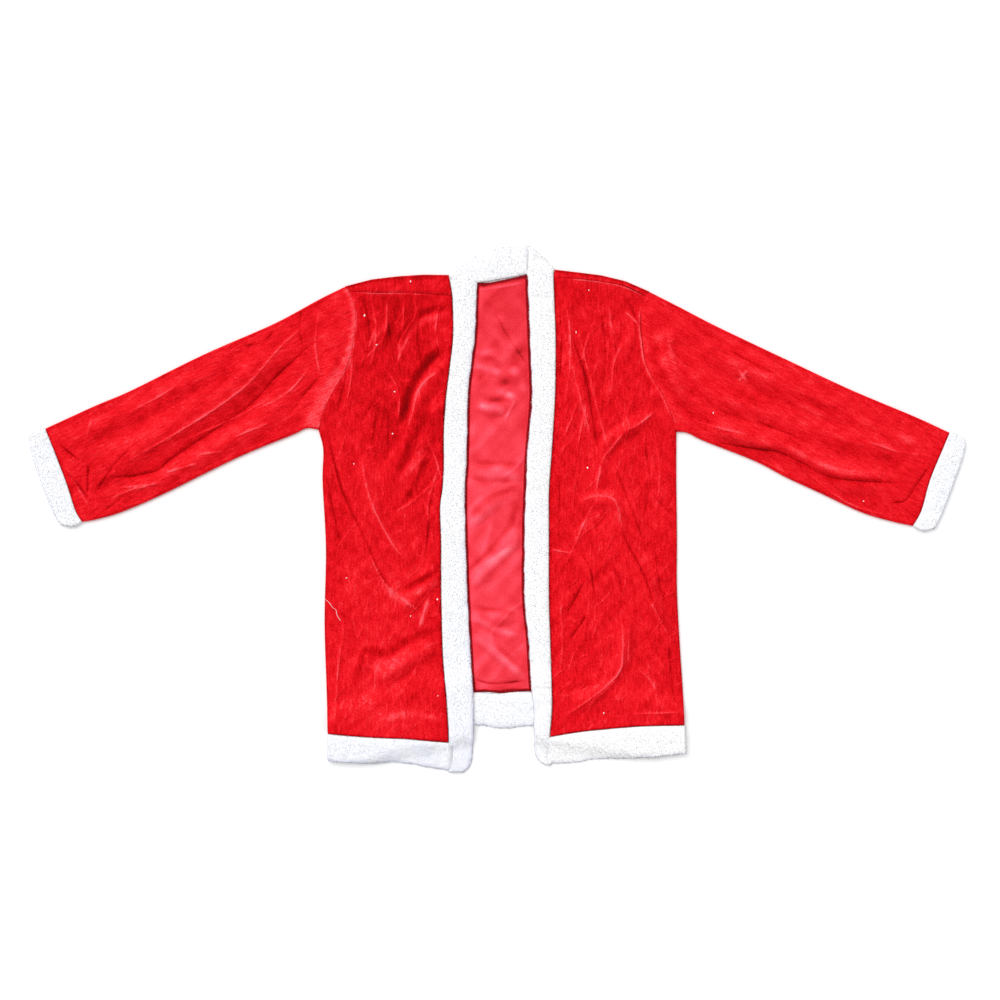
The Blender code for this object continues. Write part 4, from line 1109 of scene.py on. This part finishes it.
def grow_pile(base, seed):
    """Stand the tips of the pile on a plush base, as a piece of their own."""
    grower = placed(base.name + "_grower", base.data.copy())
    growth = grower.modifiers.new("Pile", "NODES")
    growth.node_group = pile
    sizes = {
        "Tufts per m2": TUFTS_PER_M2,
        "Length": TUFT_LENGTH * MM,
        "Thickness": TUFT_RADIUS * MM,
        "Turn": TUFT_TURN,
        "Seed": seed,
        "Plush": plush_tips,
    }
    for item in pile.interface.items_tree:
        if item.in_out == "INPUT" and item.name in sizes:
            growth[item.identifier] = sizes[item.name]
    bpy.context.view_layer.update()
    grown = grower.evaluated_get(bpy.context.evaluated_depsgraph_get())
    mesh = bpy.data.meshes.new_from_object(grown)
    bpy.data.objects.remove(grower, do_unlink=True)
    mesh.name = base.name.replace("base", "pile")
    piece_of(mesh)


def cuff(node, seam, top, under, edge, seed, side):
    """Plush cuff laid flat: a soft tube past the end of the sleeve."""
    shift = np.array([side * CUFF_GAP, 0.0])
    middle = np.mean(np.array(edge, float), axis=0)
    start = np.array(seam, float) + shift
    end = np.array(edge, float)
    end[:, 0] -= side * CUFF_INSET
    end += (middle - end) * (CUFF_INSET / CUFF_HALF_LENGTH)
    top = np.array([start[0], *top[1:-1], end[0]])
    under = np.array([start[-1], *under[1:-1], end[-1]])
    down = np.linspace(0, 1, CUFF_ROWS)
    radii = CUFF_RADIUS * np.interp(down, (0, 0.3, 0.75, 0.93, 1), (0.9, 1, 1, 0.95, 0.82))
    loops = flat_tube(
        (start, end, top, under), radii, lambda spots: 0.35 * swell(spots, 22, seed),
        CUFF_TOP_COLUMNS, CUFF_UNDER_COLUMNS)[0]
    loops[..., 2] = np.maximum(loops[..., 2], 0.0)
    shade = 0.3 + 0.45 * smooth(0.88, 1.0, down[:, None]) + 0.12 * swell(loops[..., :2], 40, seed)
    mesh = cloth_mesh(node + "_base", loops, {"shade": shade}, side, closed=True)
    band = sew(mesh, [trim_plush], node)
    grow_pile(band, seed)
    thicken(band, CUFF_WALL)


cuff("cuff_right", CUFF_SEAM_RIGHT, CUFF_TOP_RIGHT, CUFF_UNDER_RIGHT, CUFF_EDGE_RIGHT, 71, -1)
cuff("cuff_left", CUFF_SEAM_LEFT, CUFF_TOP_LEFT, CUFF_UNDER_LEFT, CUFF_EDGE_LEFT, 72, 1)

# Plush bands down the fronts, round the neck and along the hems. Each is a strip of the same
# white plush, doubled over the raw edge of the velour, so that it is soft and about 40 mm
# wide. The wearer's left front band lies over the end of the neck band.
BAND_STEP = 3.0
BASE_HEIGHT = 5.2
EDGE_INSET = 1.8
SEAM_INSET = 0.7
OPEN_EDGE_FROM = (352.0, 346.0)
HEM_OVERLAP_FROM = (-345, -362)
HEM_OVERLAP = 2.5
NECK_TUCK = 2.5
JOIN_DEPTH = 0.3
JOIN_WIDTH = 2.0
HEM_EDGE_RIGHT = ((-254, -379), (-193, -383), (-150, -382), (-100, -390), (-73, -394.5))
HEM_EDGE_LEFT = ((79, -383.5), (106, -383), (150, -377), (221, -374), (282, -368))
NECK_OUTER = (
    (-70, 338.6), (-69, 348), (-48, 370), (-30, 380.5), (-2, 390), (26, 394.5), (43.5, 394),
)


def join_rings(bm, rings):
    """Faces of a tube through rings of points, with a cap at both ends."""
    for ring, following in zip(rings, rings[1:]):
        for j in range(len(ring)):
            k = (j + 1) % len(ring)
            bm.faces.new((ring[j], ring[k], following[k], following[j]))
    bm.faces.new(rings[0])
    bm.faces.new(rings[-1])


def smooth_mesh(name, bm):
    """Mesh of closed forms, with their faces turned outward."""
    mesh = bpy.data.meshes.new(name)
    bmesh.ops.recalc_face_normals(bm, faces=bm.faces)
    bm.to_mesh(mesh)
    bm.free()
    mesh.shade_smooth()
    return mesh


def plush_strip(node, seam_line, edge_line, under, seed, shade,
                seam_inset=SEAM_INSET, open_edge=1.0, pinch=1.0):
    """Soft strip between two lines of plan points, flat below and rounded above."""
    across = edge_line - seam_line
    width = np.linalg.norm(across, axis=1, keepdims=True)
    outward = across / np.maximum(width, 0.1)
    seam = seam_line + outward * np.minimum(seam_inset, 0.2 * width)
    wavy = 0.5 * swell(edge_line, 26, seed)[:, None]
    edge = edge_line - outward * (np.minimum(EDGE_INSET, 0.3 * width) + wavy) * open_edge
    bend = np.radians(np.linspace(180, 0, 17))
    shares = 0.5 + 0.5 * np.sign(np.cos(bend)) * np.abs(np.cos(bend)) ** 0.6
    heights = np.abs(np.sin(bend)) ** 0.5
    shares = np.concatenate([shares, [0.8, 0.5, 0.2]])
    heights = np.concatenate([heights, [0.0, 0.0, 0.0]])
    plan = seam[:, None] + (edge - seam)[:, None] * shares[None, :, None]
    puff = BASE_HEIGHT * (1.0 + 0.07 * swell(plan, 34, seed + 100)) * pinch
    points = raised(plan, under(plan) + heights * puff)
    bm = bmesh.new()
    join_rings(bm, [[bm.verts.new(Vector(p) * MM) for p in ring] for ring in points])
    mesh = smooth_mesh(node + "_base", bm)
    # Painted shade on the rounded outer edge, where the plush turns away from the light, on top of
    # the piece's own tint and random patches
    rim = smooth(6.0, 1.0, (1.0 - shares) * width)
    tone = shade + 0.5 * rim + 0.1 * swell(plan, 40, seed + 200)
    mesh.attributes.new("shade", "FLOAT", "POINT").data.foreach_set("value", tone.ravel())
    strip = sew(mesh, [trim_plush], node)
    grow_pile(strip, seed)


def on_floor(plan):
    """Height under a band that lies on the surface itself."""
    return np.zeros(plan.shape[:-1])


def front_band(node, top, bottom, seam_x, edge_x, seed, side, shade, joins=()):
    """Band down a front edge, from the neck to the hem, drawn in where it is pieced."""
    heights = np.linspace(top, bottom, int((top - bottom) / BAND_STEP))
    seam_line = np.stack([seam_x(heights) - side * SEAM_GAP, heights], axis=1)
    edge_line = np.stack([edge_x(heights), heights], axis=1)
    open_edge = smooth(*OPEN_EDGE_FROM, heights)[:, None]
    pinch = np.ones((len(heights), 1))
    for join in joins:
        pinch[:, 0] -= JOIN_DEPTH * np.exp(-((heights - join) / JOIN_WIDTH) ** 2)
    seam_line[:, 0] += side * HEM_OVERLAP * smooth(*HEM_OVERLAP_FROM, heights)
    tone = np.interp(heights, (bottom, (top + bottom) / 2, top), shade)[:, None]
    plush_strip(
        node, seam_line, edge_line, resting_height, seed, tone, open_edge=open_edge, pinch=pinch)


def hem_band(node, panel_end, edge, under, seed, shade, tucked=2.0):
    """Band along the lower end of a panel, whose end is tucked into the front band."""
    length = np.linalg.norm(panel_end[-1] - panel_end[0])
    shares = np.linspace(0, 1, int(length / BAND_STEP))
    seam_line = stations(panel_end, shares) - np.array([0.0, SEAM_GAP])
    edge_line = stations(edge, shares)
    for line in (seam_line, edge_line):
        line[-1] += (line[-1] - line[-2]) * tucked
    plush_strip(node, seam_line, edge_line, under, seed, shade)


front_band("band_right", 343.0, -394.5, seam_right, edge_right, 81, -1, (0.6, 0.15, 0.1))
front_band("band_left", 391.8, -383.5, seam_left, edge_left, 82, 1, (0.1, 0.05, 0.0),
           joins=(316.6, 27.8, -269.3))
hem_band("hem_right", plan_right[-1], HEM_EDGE_RIGHT, resting_height, 83, 0.5)
hem_band("hem_left", plan_left[-1], HEM_EDGE_LEFT[::-1], resting_height, 84, 0.0)
hem_band("hem_back", np.array(HEM_SEAM_BACK, float), HEM_EDGE_BACK, on_floor, 85, 0.25,
         tucked=0.0)
neck_shares = np.linspace(0, 1, 34)
neck_lines = [stations(line, neck_shares) for line in (NECK_INNER, NECK_OUTER)]
for line in neck_lines:
    line[-1, 0] += NECK_TUCK
plush_strip("neck_band", *neck_lines, on_floor, 86, 0.1, seam_inset=0.0)

# Bits of white fluff that the plush has shed on the velour, and one loose white thread by
# the wearer's right side seam. They lie on the velour's pile.
FLUFF = (
    (-130, 340), (-199, 289), (-181, 245), (-154, 175), (-157, 112), (-215, 67), (-226, -104),
    (-130, -161), (-90, -136), (-89, -280), (137, 327), (118, 264), (135, 61), (323, 143),
    (159, -306), (548, 11),
)
FLUFF_SIZE = 0.85
FLUFF_HEIGHT = 0.4
LOOSE_THREAD = (
    (-258, -136), (-252, -141), (-247, -148), (-242, -152), (-240, -160), (-235, -168))
THREAD_RADIUS = 0.4
THREAD_HEIGHT = 0.5
LOOKED_FROM = 100.0

depsgraph = bpy.context.evaluated_depsgraph_get()
nap_faces = [
    BVHTree.FromObject(cloth, depsgraph)
    for cloth in (back, front_right, front_left, sleeve_right, sleeve_left)]


def on_nap(x, y):
    """Highest point of the velour at a place in the plan, in metres."""
    above = Vector((x, y, LOOKED_FROM)) * MM
    hits = [tree.ray_cast(above, Vector((0, 0, -1)))[0] for tree in nap_faces]
    return max((hit for hit in hits if hit is not None), key=lambda hit: hit.z)


lint = bmesh.new()
chance = np.random.default_rng(91)
for x, y in FLUFF:
    spot = on_nap(x, y)
    made = bmesh.ops.create_icosphere(lint, subdivisions=2, radius=FLUFF_SIZE * MM)
    stretch = Vector((chance.uniform(0.7, 1.3), chance.uniform(0.8, 1.9), 0.45))
    for vertex in made["verts"]:
        uneven = 1.0 + 0.35 * chance.uniform(-1, 1)
        vertex.co = vertex.co * stretch * uneven + spot + Vector((0, 0, FLUFF_HEIGHT * MM))
thread = []
for x, y in curve(LOOSE_THREAD, 6):
    spot = on_nap(x, y) + Vector((0, 0, THREAD_HEIGHT * MM))
    around = [Vector((math.cos(bend), 0, math.sin(bend))) for bend in np.radians((0, 120, 240))]
    thread.append([lint.verts.new(spot + out * THREAD_RADIUS * MM) for out in around])
join_rings(lint, thread)
lint_mesh = smooth_mesh("white_lint", lint)
lint_mesh.materials.append(trim_plush)
piece_of(lint_mesh)

# Pale floor on which the jacket is laid out. The light comes softly from above and from
# beyond the neck, and the camera looks straight down. Sizes are in metres here, and angles
# in degrees.
FLOOR_SIZE = 600.0
FLOOR_HEIGHT = -0.0003
SUN_STRENGTH = 2.05
SUN_SPREAD = 48.0
SKY_STRENGTH = 0.6
SUN_TILT = (-28.0, -20.0)
CAMERA_PLACE = (0.0039, 0.01275, 2.917)
CAMERA_LENS = 70.0
CAMERA_SENSOR = 36.0

floor_mesh = bpy.data.meshes.new("floor")
corners = ((-0.5, -0.5), (0.5, -0.5), (0.5, 0.5), (-0.5, 0.5))
floor_mesh.from_pydata(
    [(x * FLOOR_SIZE, y * FLOOR_SIZE, FLOOR_HEIGHT) for x, y in corners], [], [(0, 1, 2, 3)])
floor = placed("floor", floor_mesh)
paper = Finish("pale_floor", {"Roughness": 0.9, "Specular IOR Level": 0.1})
grain = paper.noise(paper.place, 60.0, 2.0)
paper.colour(((0.0, (0.93, 0.93, 0.935)), (1.0, (0.95, 0.95, 0.955))), grain)
floor_mesh.materials.append(paper.material)

sun = bpy.data.lights.new("soft_sun", "SUN")
sun.energy = SUN_STRENGTH
sun.angle = math.radians(SUN_SPREAD)
placed("soft_sun", sun).rotation_euler = [math.radians(turn) for turn in (*SUN_TILT, 0.0)]

world = bpy.context.scene.world or bpy.data.worlds.new("studio")
bpy.context.scene.world = world
world.use_nodes = True
sky = world.node_tree.nodes["Background"]
sky.inputs["Color"].default_value = (1.0, 1.0, 1.0, 1.0)
sky.inputs["Strength"].default_value = SKY_STRENGTH
bpy.context.scene.view_settings.view_transform = "Standard"

camera = placed("camera", bpy.data.cameras.new("camera"))
camera.data.lens = CAMERA_LENS
camera.data.sensor_width = CAMERA_SENSOR
camera.location = CAMERA_PLACE
bpy.context.scene.camera = camera
